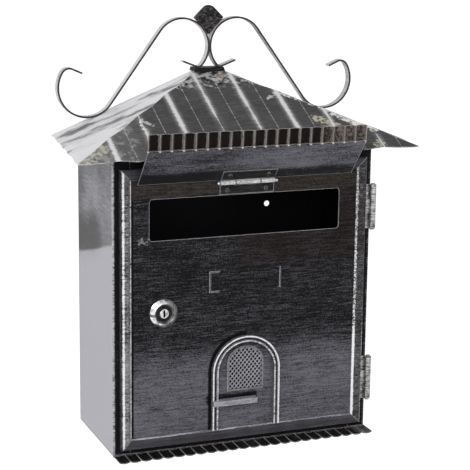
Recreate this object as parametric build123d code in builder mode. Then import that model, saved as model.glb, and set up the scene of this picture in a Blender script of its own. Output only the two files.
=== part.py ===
from build123d import *
import math
import os

# Wall mounted mailbox in sheet steel, shaped like a small house.
# Frame: X to the right seen from the front, Y towards the wall, Z up. The wall is the plane Y = 0
# and the origin is the centre of the four fixing holes. All sizes are in millimetres.

os.makedirs("parts", exist_ok=True)

# ---------------------------------------------------------------- driving sizes
sheet = 1.0                     # thickness of every folded sheet
case_width = 270.0
case_depth = 116.0

fixing_spacing_x = 142.0
fixing_spacing_z = 120.0
fixing_height = 156.5           # centre of the fixing holes above the underside of the case
fixing_hole_r = 3.0

front_return = 18.0             # side sheets folded inwards at the front
back_return = 12.0              # and at the back, where they meet the back panel
bottom_rail_height = 15.0
header_fold = 10.0

lip_length = 21.0               # fluted front edge of the floor sheet
lip_flutes = 24
lip_flute_depth = 1.4

eave_height = 295.0             # valleys of the pleats at the front eave, above the underside
eave_front = 26.0               # overhang past the front of the case
eave_side = 40.0                # overhang past each side, at the front corners
eave_taper = 13.0               # each back corner comes in by this much
ridge_rise = 65.0
ridge_half = 14.0
ridge_setback = 13.0            # front end of the ridge to the wall
pleat_height = 1.7
pleat_count = 9
roof_drop = 1.1                 # roof sheet thickness measured straight down
cap_plate = 3.2                 # ridge cap above the highest pleat
cap_margin = 4.0                # ridge cap beyond the ridge
cap_skirt = 4.0
cap_slope_in = 2.5

bar_thickness = 1.8             # flat bar of the scrolls
bar_depth = 9.0
scroll_wall_gap = 5.5
loop_r = 28.4
loop_start = 36.0               # the loop runs round from this angle ...
loop_end = 222.0                # ... to this one, where the foot begins
foot_r = 5.0
foot_angle = 21.0               # slope of the straight tail behind the foot
tail_length = 15.5
curl_r = 29.6
curl_turn = 175.8
hook_r = 8.0
hook_turn = 82.0
tip_length = 11.0

lozenge_half = 15.8
lozenge_lower = 17.5
lozenge_upper = 15.5
lozenge_top_r = 8.0
lozenge_thickness = 3.0

door_margin = 7.0               # case left showing at each side of the door
door_bottom_gap = 6.0
door_top_gap = 12.0             # top edge of the door below the valleys of the eave
door_return_gap = 0.4
moulding_width = 10.5
moulding_height = 3.0
moulding_edge = 1.2
moulding_bevel = 3.5
moulding_bevel_drop = 2.0

leaf = 1.2                      # door hinge leaves
leaf_gap = 0.2
hinge_length = 45.0
knuckle_r = 3.3
hinge_pin_r = 1.5
pin_clearance = 0.05
hinge_overhang = 1.5            # pin centre outside the side of the case
case_leaf_width = 14.0
door_leaf_width = 18.0
hinge_upper_drop = 51.0         # middle of the hinge below the top of the door
hinge_lower_rise = 47.0         # and of the other above its bottom
knuckle_gap = 0.3
rivet_r = 1.2
rivet_head_r = 2.2
rivet_head_height = 1.2
rivet_tail_height = 0.8
hinge_rivet_inset = 9.0
hinge_rivet_edge = 3.7          # rivet centre to the side of the case

slot_width = 198.0
slot_height = 40.5
slot_drop = 30.0                # upper edge of the slot below the top of the door
slot_corner_r = 3.0

plate_outline_width = 75.0      # embossed outline of the name plate
plate_outline_height = 21.0
plate_outline_line = 1.2
plate_outline_proud = 0.5
plate_outline_drop = 45.0       # its middle below the slot

arch_x = 1.2                    # middle of the arch and its window
arch_width = 71.5
arch_face = 6.0
arch_proud = 4.0
arch_groove = 2.7
arch_groove_depth = 1.2
arch_crown_rise = 94.5          # heights from here to the ledge start at the bottom moulding
window_width = 35.4
window_sill_rise = 39.3
window_rise = 81.8              # crown of the window
window_crown_half = 15.0        # half height of the ellipse that makes the crown
window_rim = 1.2
window_rim_proud = 0.6
mesh_thickness = 0.6
mesh_overlap = 4.0
mesh_pitch_x = 4.4
mesh_pitch_z = 5.2
mesh_wire = 0.8
ledge_length = 46.3             # from the outer edge of the arch inwards
ledge_height = 5.3
ledge_rise = 25.5
ledge_proud = 8.0

flap_width = 222.0
flap_drop = 47.5                # flat part of the flap, from its upper edge to the bend
flap_start = 1.0                # upper edge of the flap past the pin centre
flap_lip_length = 16.8
flap_lip_angle = 36.0
flap_flutes = 19
flap_flute_depth = 2.4
flap_eave_gap = 0.4
flap_leaf = 1.0
flap_knuckle_r = 2.6
flap_pin_r = 1.1
flap_pin_rise = 12.5            # pin centre above the slot
flap_hinge_length = 56.0
flap_knuckle_share = 0.46       # share of the middle knuckle
flap_leaf_reach = 14.0
flap_rivet_half_spacing = 20.0
flap_rivet_reach = 9.0
flap_pin_ball_r = 1.9

lock_x = -84.9
lock_rise = 135.0               # above the bottom of the door
bezel_r = 15.3
bezel_face = 5.0                # bezel in front of the door face
bezel_edge = 2.0
bezel_bevel = 4.6
dish_mouth_r = 8.2
dish_floor_r = 7.2
dish_floor = 1.6
barrel_r = 9.1
barrel_clearance = 0.1
plug_r = 4.5
plug_clearance = 0.08
plug_face = 3.4
key_width = 1.5
key_height = 6.8
key_depth = 6.5
nut_across = 24.0
nut_thickness = 3.0
cam_thickness = 2.0
cam_reach = 38.0
cam_hub_r = 7.5
cam_tip_r = 5.0
cam_gap = 0.3
cam_flange_gap = 0.6
tang = 6.0
tang_clearance = 0.1
screw_head_r = 3.6
screw_head_height = 2.2
screw_shank_r = 1.6
screw_depth = 5.0

# ---------------------------------------------------------------- places worked out from the sizes
front = -case_depth
bottom = -fixing_height
half_width = case_width / 2

eave_y = front - eave_front
eave_z = bottom + eave_height
roof_half = half_width + eave_side
front_run = -ridge_setback - eave_y
side_run = roof_half - ridge_half
ridge_z = eave_z + ridge_rise
half_pitch = roof_half / pleat_count
side_half_pitch = half_pitch * front_run / side_run

door_back = front - 2 * leaf - leaf_gap
door_face = door_back - sheet
door_half = half_width - door_margin
door_bottom = bottom + door_bottom_gap
door_top = eave_z - door_top_gap
door_mid = (door_bottom + door_top) / 2
door_height = door_top - door_bottom
panel_bottom = door_bottom + moulding_width
opening_top = door_top - moulding_width

hinge_x = half_width + hinge_overhang
hinge_y = front - knuckle_r - knuckle_gap
slot_top = door_top - slot_drop
slot_mid = slot_top - slot_height / 2
plate_outline_z = slot_top - slot_height - plate_outline_drop

hinge_upper_z = door_top - hinge_upper_drop
hinge_lower_z = door_bottom + hinge_lower_rise

flap_pin_y = door_face - flap_knuckle_r
flap_pin_z = slot_top + flap_pin_rise
lock_z = door_bottom + lock_rise


def at_depth(y):
    """Sketch plane facing the viewer at depth y, drawn in X and Z."""
    return Plane.XZ.offset(-y)


def save(builder, node):
    """Label a finished piece and write it."""
    builder.part.label = node
    export_step(builder.part, f"parts/{node}.step")


def pleat_lift(steps):
    """Height of the pleats above the valleys, so many half pitches from a corner, which lies flat."""
    return pleat_height * abs(1 - steps % 2) if steps > 1 else 0


def front_slope(lift):
    """Plane of the roof's front valleys, raised by lift."""
    return Plane((0, eave_y, eave_z + lift), x_dir=(1, 0, 0), z_dir=(0, -ridge_rise, front_run))


def side_slope(side, lift):
    """Plane of the valleys on the left (-1) or right (1), raised by lift."""
    origin = (side * roof_half, 0, eave_z + lift)
    return Plane(origin, x_dir=(0, 1, 0), z_dir=(side * ridge_rise, 0, side_run))


def under_roof(lift, top):
    """Space below the three roof slopes raised by lift, closed off at the height top."""
    with BuildPart() as space:
        with BuildSketch(Plane.XY.offset(bottom - lip_flute_depth)):
            with Locations((0, eave_y / 2)):
                Rectangle(2 * roof_half, -eave_y)
        extrude(amount=top - bottom + lip_flute_depth)
        split(bisect_by=front_slope(lift), keep=Keep.BOTTOM)
        split(bisect_by=side_slope(1, lift), keep=Keep.BOTTOM)
        split(bisect_by=side_slope(-1, lift), keep=Keep.BOTTOM)
    return space.part


attic = under_roof(-roof_drop, ridge_z)

# ---------------------------------------------------------------- case
with BuildPart() as back_panel:
    with BuildSketch(at_depth(0)):
        with Locations((0, bottom + sheet + (ridge_z - bottom) / 2)):
            Rectangle(case_width, ridge_z - bottom)
        with GridLocations(fixing_spacing_x, fixing_spacing_z, 2, 2):
            Circle(fixing_hole_r, mode=Mode.SUBTRACT)
    extrude(amount=sheet)
    add(attic, mode=Mode.INTERSECT)
save(back_panel, "back_panel")


def side_sheet(side):
    """Side of the case, a channel whose returns face inwards, cut off under the roof."""
    with BuildPart() as piece:
        with BuildSketch(Plane.XY.offset(bottom + sheet)):
            with Locations((side * (half_width - sheet / 2), (front - sheet) / 2)):
                Rectangle(sheet, case_depth - sheet)
            with Locations((side * (half_width - front_return / 2), front + sheet / 2)):
                Rectangle(front_return, sheet)
            with Locations((side * (half_width - back_return / 2), -1.5 * sheet)):
                Rectangle(back_return, sheet)
        extrude(amount=ridge_z - bottom)
        add(attic, mode=Mode.INTERSECT)
    return piece.part


def hinge_rivet_plane(hinge_z, outer):
    """Seat of the rivet of a case leaf, on its face, towards its upper (1) or lower (-1) end."""
    rivet_z = hinge_z + outer * (hinge_length / 2 - hinge_rivet_inset)
    seat = (half_width - hinge_rivet_edge, front - leaf, rivet_z)
    return Plane(seat, x_dir=(1, 0, 0), z_dir=(0, -1, 0))


hinge_rivet_planes = [hinge_rivet_plane(hinge_upper_z, 1), hinge_rivet_plane(hinge_lower_z, -1)]

with BuildPart() as case_side_left:
    add(side_sheet(-1))
save(case_side_left, "case_side_left")

with BuildPart() as case_side_right:
    add(side_sheet(1))
    with Locations(*hinge_rivet_planes):
        Cylinder(rivet_r + pin_clearance, 3 * (leaf + sheet), mode=Mode.SUBTRACT)
save(case_side_right, "case_side_right")

with BuildPart() as front_header:
    with BuildSketch(Plane.YZ.offset(-half_width + front_return)):
        with BuildLine():
            Polyline(
                (front, ridge_z),
                (front, opening_top),
                (front + header_fold, opening_top),
                (front + header_fold, opening_top + sheet),
                (front + sheet, opening_top + sheet),
                (front + sheet, ridge_z),
                close=True,
            )
        make_face()
    extrude(amount=case_width - 2 * front_return)
    add(attic, mode=Mode.INTERSECT)
save(front_header, "front_header")

with BuildPart() as front_bottom_rail:
    with BuildSketch(at_depth(front + sheet)):
        with Locations((0, bottom + sheet + bottom_rail_height / 2)):
            Rectangle(case_width - 2 * front_return, bottom_rail_height)
    extrude(amount=sheet)
save(front_bottom_rail, "front_bottom_rail")


def fluted_outline(width, flutes, depth, top):
    """Outline of a fluted sheet, hollows side by side that sag below the height top."""
    pitch = width / flutes
    with BuildLine() as outline:
        for x in [-width / 2 + pitch * i for i in range(flutes)]:
            ThreePointArc((x, top), (x + pitch / 2, top - depth), (x + pitch, top))
            low = top - sheet
            ThreePointArc((x, low), (x + pitch / 2, low - depth), (x + pitch, low))
        Line((-width / 2, top), (-width / 2, top - sheet))
        Line((width / 2, top), (width / 2, top - sheet))
    return outline.edges()


with BuildPart() as base_plate:
    with BuildSketch(Plane.XY.offset(bottom)):
        with Locations((0, front / 2)):
            Rectangle(case_width, case_depth)
    extrude(amount=sheet)
    with BuildSketch(at_depth(front)):
        make_face(fluted_outline(case_width, lip_flutes, lip_flute_depth, bottom + sheet))
    extrude(amount=lip_length)
    with BuildSketch(at_depth(front)):
        with Locations((0, bottom + (sheet - lip_flute_depth) / 2)):
            Rectangle(case_width, lip_flute_depth + sheet)
    extrude(amount=sheet)
save(base_plate, "base_plate")

# ---------------------------------------------------------------- roof
def pleated_outline(start, half_pitch, steps):
    """Closed zigzag section of a pleated sheet from a corner on, roof_drop thick."""
    lifts = [pleat_lift(min(i, 2 * pleat_count - i)) for i in range(steps + 1)]
    upper = [(start + half_pitch * i, eave_z + lift) for i, lift in enumerate(lifts)]
    lower = [(u, v - roof_drop) for u, v in reversed(upper)]
    with BuildLine() as outline:
        Polyline(*upper, *lower, close=True)
    return outline.edges()


with BuildPart() as roof_front:
    with BuildSketch(at_depth(eave_y)):
        make_face(pleated_outline(-roof_half, half_pitch, 2 * pleat_count))
    extrude(amount=math.hypot(front_run, ridge_rise), dir=(0, front_run, ridge_rise))
    with BuildSketch(Plane.XY.offset(bottom)):
        Polygon(
            (-roof_half, eave_y),
            (roof_half, eave_y),
            (ridge_half, -ridge_setback),
            (-ridge_half, -ridge_setback),
            align=None,
        )
    extrude(amount=2 * ridge_z, mode=Mode.INTERSECT)
save(roof_front, "roof_front")

with BuildPart() as roof_right:
    with BuildSketch(Plane.YZ.offset(roof_half)):
        make_face(pleated_outline(eave_y, side_half_pitch, math.ceil(-eave_y / side_half_pitch)))
    extrude(amount=math.hypot(side_run, ridge_rise), dir=(-side_run, 0, ridge_rise))
    with BuildSketch(Plane.XY.offset(bottom)):
        Polygon(
            (roof_half, eave_y),
            (roof_half - eave_taper, 0),
            (ridge_half, 0),
            (ridge_half, -ridge_setback),
            align=None,
        )
    extrude(amount=2 * ridge_z, mode=Mode.INTERSECT)
save(roof_right, "roof_right")

with BuildPart() as roof_left:
    mirror(roof_right.part, about=Plane.YZ)
save(roof_left, "roof_left")

ridge_lift = pleat_lift(side_run / half_pitch)
cap_top = ridge_z + ridge_lift + cap_plate
cap_depth = ridge_setback + cap_margin
with BuildPart() as ridge_cap:
    with BuildSketch(Plane.XY.offset(ridge_z - cap_skirt)):
        with Locations((0, -cap_depth / 2)):
            Rectangle(2 * (ridge_half + cap_margin), cap_depth)
    with BuildSketch(Plane.XY.offset(cap_top)):
        with Locations((0, -(cap_depth - cap_slope_in) / 2)):
            Rectangle(2 * (ridge_half + cap_margin - cap_slope_in), cap_depth - cap_slope_in)
    loft()
    add(under_roof(pleat_height, ridge_z + ridge_lift), mode=Mode.SUBTRACT)
save(ridge_cap, "ridge_cap")

# ---------------------------------------------------------------- scrolls and finial
loop_x = loop_r + bar_thickness / 2
foot_turn = foot_angle + 270 - loop_end
foot_drop = foot_r - foot_r * math.cos(math.radians(270 - loop_end))
loop_z = cap_top + bar_thickness / 2 + foot_drop + loop_r * math.sin(math.radians(loop_end - 180))

# The straight stem runs until the curl beyond it just rests on the side roof.
stem_heading = math.radians(loop_start - 90)
stem_x = loop_x + (loop_r + curl_r) * math.cos(math.radians(loop_start))
stem_z = loop_z + (loop_r + curl_r) * math.sin(math.radians(loop_start))
scroll_face_steps = (-scroll_wall_gap - bar_depth - eave_y) / side_half_pitch
side_grade = ridge_rise / side_run
rest_z = eave_z + pleat_lift(scroll_face_steps) + side_grade * (roof_half - stem_x)
rest_clear = (curl_r + bar_thickness / 2) * math.hypot(1, side_grade)
stem_length = (stem_z - rest_z - rest_clear) / -(
    math.sin(stem_heading) + side_grade * math.cos(stem_heading)
)

with BuildPart() as scroll_right:
    with BuildSketch(at_depth(-scroll_wall_gap)):
        with BuildLine():
            loop = CenterArc((loop_x, loop_z), loop_r, loop_start, loop_end - loop_start)
            foot = JernArc(loop @ 1, loop % 1, foot_r, foot_turn)
            Line(foot @ 1, foot @ 1 + tail_length * (foot % 1))
            stem = Line(loop @ 0, loop @ 0 - stem_length * (loop % 0))
            curl = JernArc(stem @ 1, stem % 1, curl_r, curl_turn)
            hook = JernArc(curl @ 1, curl % 1, hook_r, hook_turn)
            Line(hook @ 1, hook @ 1 + tip_length * (hook % 1))
        trace(line_width=bar_thickness)
    extrude(amount=bar_depth)
save(scroll_right, "scroll_right")

with BuildPart() as scroll_left:
    mirror(scroll_right.part, about=Plane.YZ)
save(scroll_left, "scroll_left")

lozenge_edge = math.hypot(lozenge_half, lozenge_lower)
loop_outer = loop_r + bar_thickness / 2
lozenge_foot = loop_z - (loop_x * lozenge_lower - loop_outer * lozenge_edge) / lozenge_half
with BuildPart() as finial_lozenge:
    with BuildSketch(at_depth(-scroll_wall_gap - (bar_depth - lozenge_thickness) / 2)) as lozenge:
        Polygon(
            (0, lozenge_foot),
            (lozenge_half, lozenge_foot + lozenge_lower),
            (0, lozenge_foot + lozenge_lower + lozenge_upper),
            (-lozenge_half, lozenge_foot + lozenge_lower),
            align=None,
        )
        fillet(lozenge.vertices().sort_by(Axis.Y)[-1], lozenge_top_r)
    extrude(amount=lozenge_thickness)
save(finial_lozenge, "finial_lozenge")

# ---------------------------------------------------------------- door
window_sill = panel_bottom + window_sill_rise
window_crown = panel_bottom + window_rise
window_mid_z = (window_sill + window_crown) / 2
window_spring = window_crown - window_crown_half


def window_outline(margin):
    """Arched window opening, drawn margin larger all round."""
    half = window_width / 2 + margin
    low = window_sill - margin
    with BuildLine() as outline:
        left, right = arch_x - half, arch_x + half
        Polyline((left, window_spring), (left, low), (right, low), (right, window_spring))
        EllipticalCenterArc((arch_x, window_spring), half, window_crown_half + margin, arc_size=180)
    return outline.edges()


flap_rivet_z = (slot_top + flap_pin_z - flap_knuckle_r) / 2
with BuildPart() as door_panel:
    with BuildSketch(at_depth(front - door_return_gap)):
        with Locations((0, door_mid)):
            Rectangle(2 * door_half, door_height)
    extrude(amount=front - door_return_gap - door_face)
    with BuildSketch(at_depth(front - door_return_gap)):
        with Locations((0, door_mid)):
            Rectangle(2 * (door_half - sheet), door_height - 2 * sheet)
    extrude(amount=front - door_return_gap - door_back, mode=Mode.SUBTRACT)
    with BuildSketch(at_depth(front)):
        with Locations((door_half, hinge_lower_z), (door_half, hinge_upper_z)):
            Rectangle(4 * sheet, hinge_length + 2 * sheet)
    extrude(amount=front - door_back, mode=Mode.SUBTRACT)
    with BuildSketch(at_depth(door_face)):
        with Locations((0, plate_outline_z)):
            Rectangle(plate_outline_width, plate_outline_height)
            Rectangle(
                plate_outline_width - 2 * plate_outline_line,
                plate_outline_height - 2 * plate_outline_line,
                mode=Mode.SUBTRACT,
            )
    extrude(amount=plate_outline_proud)
    with BuildSketch(at_depth(door_face)):
        make_face(window_outline(window_rim))
    extrude(amount=window_rim_proud)
    with BuildSketch(at_depth(door_back)):
        make_face(window_outline(0))
        with Locations((0, slot_mid)):
            RectangleRounded(slot_width, slot_height, slot_corner_r)
        with Locations((lock_x, lock_z)):
            Circle(barrel_r + barrel_clearance)
        with Locations((-flap_rivet_half_spacing, flap_rivet_z), (flap_rivet_half_spacing, flap_rivet_z)):
            Circle(rivet_r + pin_clearance)
    extrude(amount=sheet + window_rim_proud, mode=Mode.SUBTRACT)
save(door_panel, "door_panel")


def moulding(length, turn, reach):
    """One mitred bar of the door's border; turn spins it round the door from the bottom."""
    bar_direction = (math.cos(math.radians(turn)), 0, math.sin(math.radians(turn)))
    centre = Plane((0, door_face, door_mid), x_dir=bar_direction, z_dir=(0, -1, 0))
    bar_start = centre.from_local_coords((-length / 2, -reach, 0))
    across = Plane(bar_start, x_dir=centre.y_dir, z_dir=centre.x_dir)
    with BuildPart() as bar:
        with BuildSketch(across):
            with BuildLine():
                Polyline(
                    (0, 0),
                    (moulding_width, 0),
                    (moulding_width, moulding_height - moulding_bevel_drop),
                    (moulding_width - moulding_bevel, moulding_height),
                    (moulding_edge, moulding_height),
                    (0, moulding_height - moulding_edge),
                    close=True,
                )
            make_face()
        extrude(amount=length)
        for end in (-1, 1):
            corner = centre.from_local_coords((end * length / 2, -reach, 0))
            mitre = Plane(corner, x_dir=centre.z_dir, z_dir=centre.x_dir * end + centre.y_dir)
            split(bisect_by=mitre, keep=Keep.BOTTOM)
    return bar


save(moulding(2 * door_half, 0, door_height / 2), "door_moulding_bottom")
save(moulding(door_height, 90, door_half), "door_moulding_right")
save(moulding(2 * door_half, 180, door_height / 2), "door_moulding_top")
save(moulding(door_height, 270, door_half), "door_moulding_left")

arch_spring = panel_bottom + arch_crown_rise - arch_width / 2


def arch_outline(inset):
    """Arch with straight legs standing on the bottom moulding, drawn inset from its outer edge."""
    half = arch_width / 2 - inset
    with BuildLine() as outline:
        left, right = arch_x - half, arch_x + half
        Polyline((left, arch_spring), (left, panel_bottom), (right, panel_bottom), (right, arch_spring))
        CenterArc((arch_x, arch_spring), half, 0, 180)
    return outline.edges()


arch_front = door_face - arch_proud
with BuildPart() as arch_moulding:
    with BuildSketch(at_depth(door_face)):
        make_face(arch_outline(0))
        make_face(arch_outline(arch_face), mode=Mode.SUBTRACT)
    extrude(amount=arch_proud)
    with BuildSketch(at_depth(arch_front + arch_groove_depth)):
        make_face(arch_outline((arch_face - arch_groove) / 2))
        make_face(arch_outline((arch_face + arch_groove) / 2), mode=Mode.SUBTRACT)
    extrude(amount=arch_groove_depth, mode=Mode.SUBTRACT)
save(arch_moulding, "arch_moulding")

ledge_left_x = arch_x - arch_width / 2
ledge_mid_z = panel_bottom + ledge_rise + ledge_height / 2
with BuildPart() as arch_ledge:
    with BuildSketch(at_depth(door_face)):
        with Locations((ledge_left_x + ledge_length / 2, ledge_mid_z)):
            Rectangle(ledge_length, ledge_height)
    extrude(amount=ledge_proud)
    chamfer(arch_ledge.faces().sort_by(Axis.Y)[0].edges(), sheet / 2)
    with BuildSketch(at_depth(door_face)):
        with Locations((ledge_left_x + arch_face / 2, ledge_mid_z)):
            Rectangle(arch_face, 2 * ledge_height)
    extrude(amount=arch_proud, mode=Mode.SUBTRACT)
save(arch_ledge, "arch_ledge")

columns = range(-math.ceil(window_width / mesh_pitch_x), math.ceil(window_width / mesh_pitch_x) + 1)
rows = range(-math.ceil(window_rise / mesh_pitch_z), math.ceil(window_rise / mesh_pitch_z))
diamond_places = [
    (arch_x + column * mesh_pitch_x / 2, window_mid_z + row * mesh_pitch_z / 2)
    for column in columns
    for row in rows
    if (column + row) % 2 == 0
]


def in_window(x, z):
    """Whether a diamond centred here shows in the window."""
    sideways = abs(x - arch_x) / (window_width / 2)
    upward = max(0, z - window_spring) / window_crown_half
    above_sill = z > window_sill
    return above_sill and sideways**2 + upward**2 < 1 + 0.12 * (upward == 0)


with BuildPart() as window_mesh:
    with BuildSketch(at_depth(door_back + mesh_thickness)):
        make_face(window_outline(mesh_overlap))
        with Locations(*[place for place in diamond_places if in_window(*place)]):
            Polygon(
                (0, -mesh_pitch_z / 2 + mesh_wire),
                (mesh_pitch_x / 2 - mesh_wire * mesh_pitch_x / mesh_pitch_z, 0),
                (0, mesh_pitch_z / 2 - mesh_wire),
                (-mesh_pitch_x / 2 + mesh_wire * mesh_pitch_x / mesh_pitch_z, 0),
                mode=Mode.SUBTRACT,
            )
    extrude(amount=mesh_thickness)
save(window_mesh, "window_mesh")

# ---------------------------------------------------------------- door hinges
knuckle = hinge_length / 3


def door_hinge(node, mid):
    """Case leaf, door leaf and pin of one butt hinge: the case holds the outer knuckles."""
    bore_r = hinge_pin_r + pin_clearance
    barrel_length = knuckle - knuckle_gap
    clear_x = hinge_x - knuckle_r - knuckle_gap
    with BuildPart() as case_leaf:
        with Locations(((half_width - case_leaf_width + hinge_x) / 2, front - leaf / 2, mid)):
            Box(hinge_x - half_width + case_leaf_width, leaf, hinge_length)
        with Locations(((clear_x + hinge_x) / 2 + leaf, front - leaf / 2, mid)):
            Box(hinge_x - clear_x + 2 * leaf, 2 * leaf, knuckle + knuckle_gap, mode=Mode.SUBTRACT)
        for side in (-1, 1):
            with Locations((hinge_x, hinge_y, mid + side * knuckle)):
                Cylinder(knuckle_r, barrel_length)
        with Locations((hinge_x, hinge_y, mid)):
            Cylinder(bore_r, 2 * hinge_length, mode=Mode.SUBTRACT)
        with Locations(*hinge_rivet_planes):
            Cylinder(rivet_r + pin_clearance, 3 * leaf, mode=Mode.SUBTRACT)
    save(case_leaf, f"{node}_case_leaf")
    leaf_y = door_back + leaf / 2
    with BuildPart() as door_leaf:
        with Locations((door_half - door_leaf_width / 2, leaf_y, mid)):
            Box(door_leaf_width, leaf, hinge_length)
        with Locations(((door_half + hinge_x) / 2, leaf_y, mid)):
            Box(hinge_x - door_half, leaf, barrel_length)
        with Locations((hinge_x, hinge_y, mid)):
            Cylinder(knuckle_r, barrel_length)
            Cylinder(bore_r, barrel_length, mode=Mode.SUBTRACT)
    save(door_leaf, f"{node}_door_leaf")
    with BuildPart() as pin:
        with Locations((hinge_x, hinge_y, mid)):
            Cylinder(hinge_pin_r, hinge_length)
        for side in (-1, 1):
            with Locations((hinge_x, hinge_y, mid + side * (hinge_length + leaf) / 2)):
                Cylinder(knuckle_r - leaf, leaf)
    save(pin, f"{node}_pin")


door_hinge("hinge_upper", hinge_upper_z)
door_hinge("hinge_lower", hinge_lower_z)


def rivet(grip):
    """Rivet along Z: head above Z = 0, tail below the gripped sheets."""
    with BuildPart() as piece:
        with Locations((0, 0, rivet_head_height / 2)):
            head = Cylinder(rivet_head_r, rivet_head_height)
        chamfer(head.edges().group_by(Axis.Z)[-1], rivet_head_height / 2)
        with Locations((0, 0, -grip / 2)):
            Cylinder(rivet_r, grip)
        with Locations((0, 0, -grip - rivet_tail_height / 2)):
            Cylinder(1.4 * rivet_r, rivet_tail_height)
    return piece.part


with BuildPart() as hinge_case_rivets:
    with Locations(*hinge_rivet_planes):
        add(rivet(leaf + sheet))
save(hinge_case_rivets, "hinge_case_rivets")

# ---------------------------------------------------------------- flap, drawn open against the eave
corner_y = flap_pin_y - eave_y
corner_z = eave_z - roof_drop - flap_pin_z
flap_reach = flap_knuckle_r + sheet + flap_eave_gap
open_angle = math.atan2(corner_z, corner_y) - math.asin(flap_reach / math.hypot(corner_y, corner_z))
along = (0, -math.cos(open_angle), math.sin(open_angle))
outward = (0, math.sin(open_angle), math.cos(open_angle))
# In this plane Y runs from the flap's lip towards its pin and Z out of its weather side.
flap_plane = Plane((0, flap_pin_y, flap_pin_z), x_dir=(1, 0, 0), z_dir=outward)
lip_turn = math.radians(flap_lip_angle)
bend = flap_start + flap_drop

with BuildPart() as flap_plate:
    with BuildSketch(flap_plane.offset(flap_knuckle_r)):
        with Locations((0, -flap_start - flap_drop / 2)):
            Rectangle(flap_width, flap_drop)
        with Locations(
            (-flap_rivet_half_spacing, -flap_rivet_reach), (flap_rivet_half_spacing, -flap_rivet_reach)
        ):
            Circle(rivet_r + pin_clearance, mode=Mode.SUBTRACT)
    extrude(amount=sheet)
    lip_start = flap_plane.from_local_coords((0, -bend, flap_knuckle_r))
    lip_along = Vector(*along) * math.cos(lip_turn) + Vector(*outward) * math.sin(lip_turn)
    lip_plane = Plane(lip_start, x_dir=(-1, 0, 0), z_dir=lip_along)
    with BuildSketch(lip_plane):
        make_face(fluted_outline(flap_width, flap_flutes, flap_flute_depth, 0))
    extrude(amount=flap_lip_length)
    with BuildSketch(lip_plane):
        with Locations((0, -(flap_flute_depth + sheet) / 2)):
            Rectangle(flap_width, flap_flute_depth + sheet)
    extrude(amount=sheet)
save(flap_plate, "flap_plate")

flap_knuckle = flap_hinge_length * flap_knuckle_share
flap_side_knuckle = (flap_hinge_length - flap_knuckle) / 2
flap_bore_r = flap_pin_r + pin_clearance
side_knuckle_x = (flap_knuckle + flap_side_knuckle) / 2
lying = (0, 90, 0)

with BuildPart() as flap_hinge_door_leaf:
    with BuildSketch(at_depth(door_face)):
        with Locations((0, (slot_top + flap_pin_z) / 2 + sheet / 2)):
            Rectangle(flap_hinge_length, flap_pin_z - slot_top - sheet)
        with Locations((0, flap_pin_z)):
            Rectangle(flap_knuckle + knuckle_gap, 2 * (flap_knuckle_r + knuckle_gap), mode=Mode.SUBTRACT)
        with Locations((-flap_rivet_half_spacing, flap_rivet_z), (flap_rivet_half_spacing, flap_rivet_z)):
            Circle(rivet_r + pin_clearance, mode=Mode.SUBTRACT)
    extrude(amount=flap_leaf)
    with Locations((-side_knuckle_x, flap_pin_y, flap_pin_z), (side_knuckle_x, flap_pin_y, flap_pin_z)):
        Cylinder(flap_knuckle_r, flap_side_knuckle - knuckle_gap, rotation=lying)
    with Locations((0, flap_pin_y, flap_pin_z)):
        Cylinder(flap_bore_r, 2 * flap_hinge_length, rotation=lying, mode=Mode.SUBTRACT)
save(flap_hinge_door_leaf, "flap_hinge_door_leaf")

with BuildPart() as flap_hinge_flap_leaf:
    with BuildSketch(flap_plane.offset(flap_knuckle_r - flap_leaf)):
        with Locations((0, -flap_start - flap_leaf_reach / 2)):
            Rectangle(flap_hinge_length, flap_leaf_reach)
        with Locations((0, -(flap_start + flap_knuckle_r) / 2)):
            Rectangle(flap_knuckle - knuckle_gap, flap_start + flap_knuckle_r)
        for side in (-1, 1):
            with Locations((side * (flap_knuckle + flap_hinge_length) / 4, 0)):
                Rectangle(
                    (flap_hinge_length - flap_knuckle) / 2 + knuckle_gap,
                    2 * (flap_knuckle_r + knuckle_gap),
                    mode=Mode.SUBTRACT,
                )
        with Locations(
            (-flap_rivet_half_spacing, -flap_rivet_reach), (flap_rivet_half_spacing, -flap_rivet_reach)
        ):
            Circle(rivet_r + pin_clearance, mode=Mode.SUBTRACT)
    extrude(amount=flap_leaf)
    with Locations((0, flap_pin_y, flap_pin_z)):
        Cylinder(flap_knuckle_r, flap_knuckle - knuckle_gap, rotation=lying)
        Cylinder(flap_bore_r, flap_knuckle, rotation=lying, mode=Mode.SUBTRACT)
save(flap_hinge_flap_leaf, "flap_hinge_flap_leaf")

with BuildPart() as flap_hinge_pin:
    with Locations((0, flap_pin_y, flap_pin_z)):
        Cylinder(flap_pin_r, flap_hinge_length + flap_pin_ball_r, rotation=lying)
    for side in (-1, 1):
        with Locations((side * (flap_hinge_length / 2 + flap_pin_ball_r), flap_pin_y, flap_pin_z)):
            button = Cylinder(flap_pin_ball_r, 2 * flap_pin_ball_r, rotation=lying)
        ends = button.edges().group_by(Axis.X)
        chamfer(ends[0] + ends[-1], flap_pin_ball_r / 3)
save(flap_hinge_pin, "flap_hinge_pin")

with BuildPart() as flap_hinge_door_rivets:
    leaf_face = Plane((0, door_face - flap_leaf, flap_rivet_z), x_dir=(1, 0, 0), z_dir=(0, -1, 0))
    with Locations(leaf_face):
        with Locations((-flap_rivet_half_spacing, 0), (flap_rivet_half_spacing, 0)):
            add(rivet(flap_leaf + sheet))
save(flap_hinge_door_rivets, "flap_hinge_door_rivets")

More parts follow.
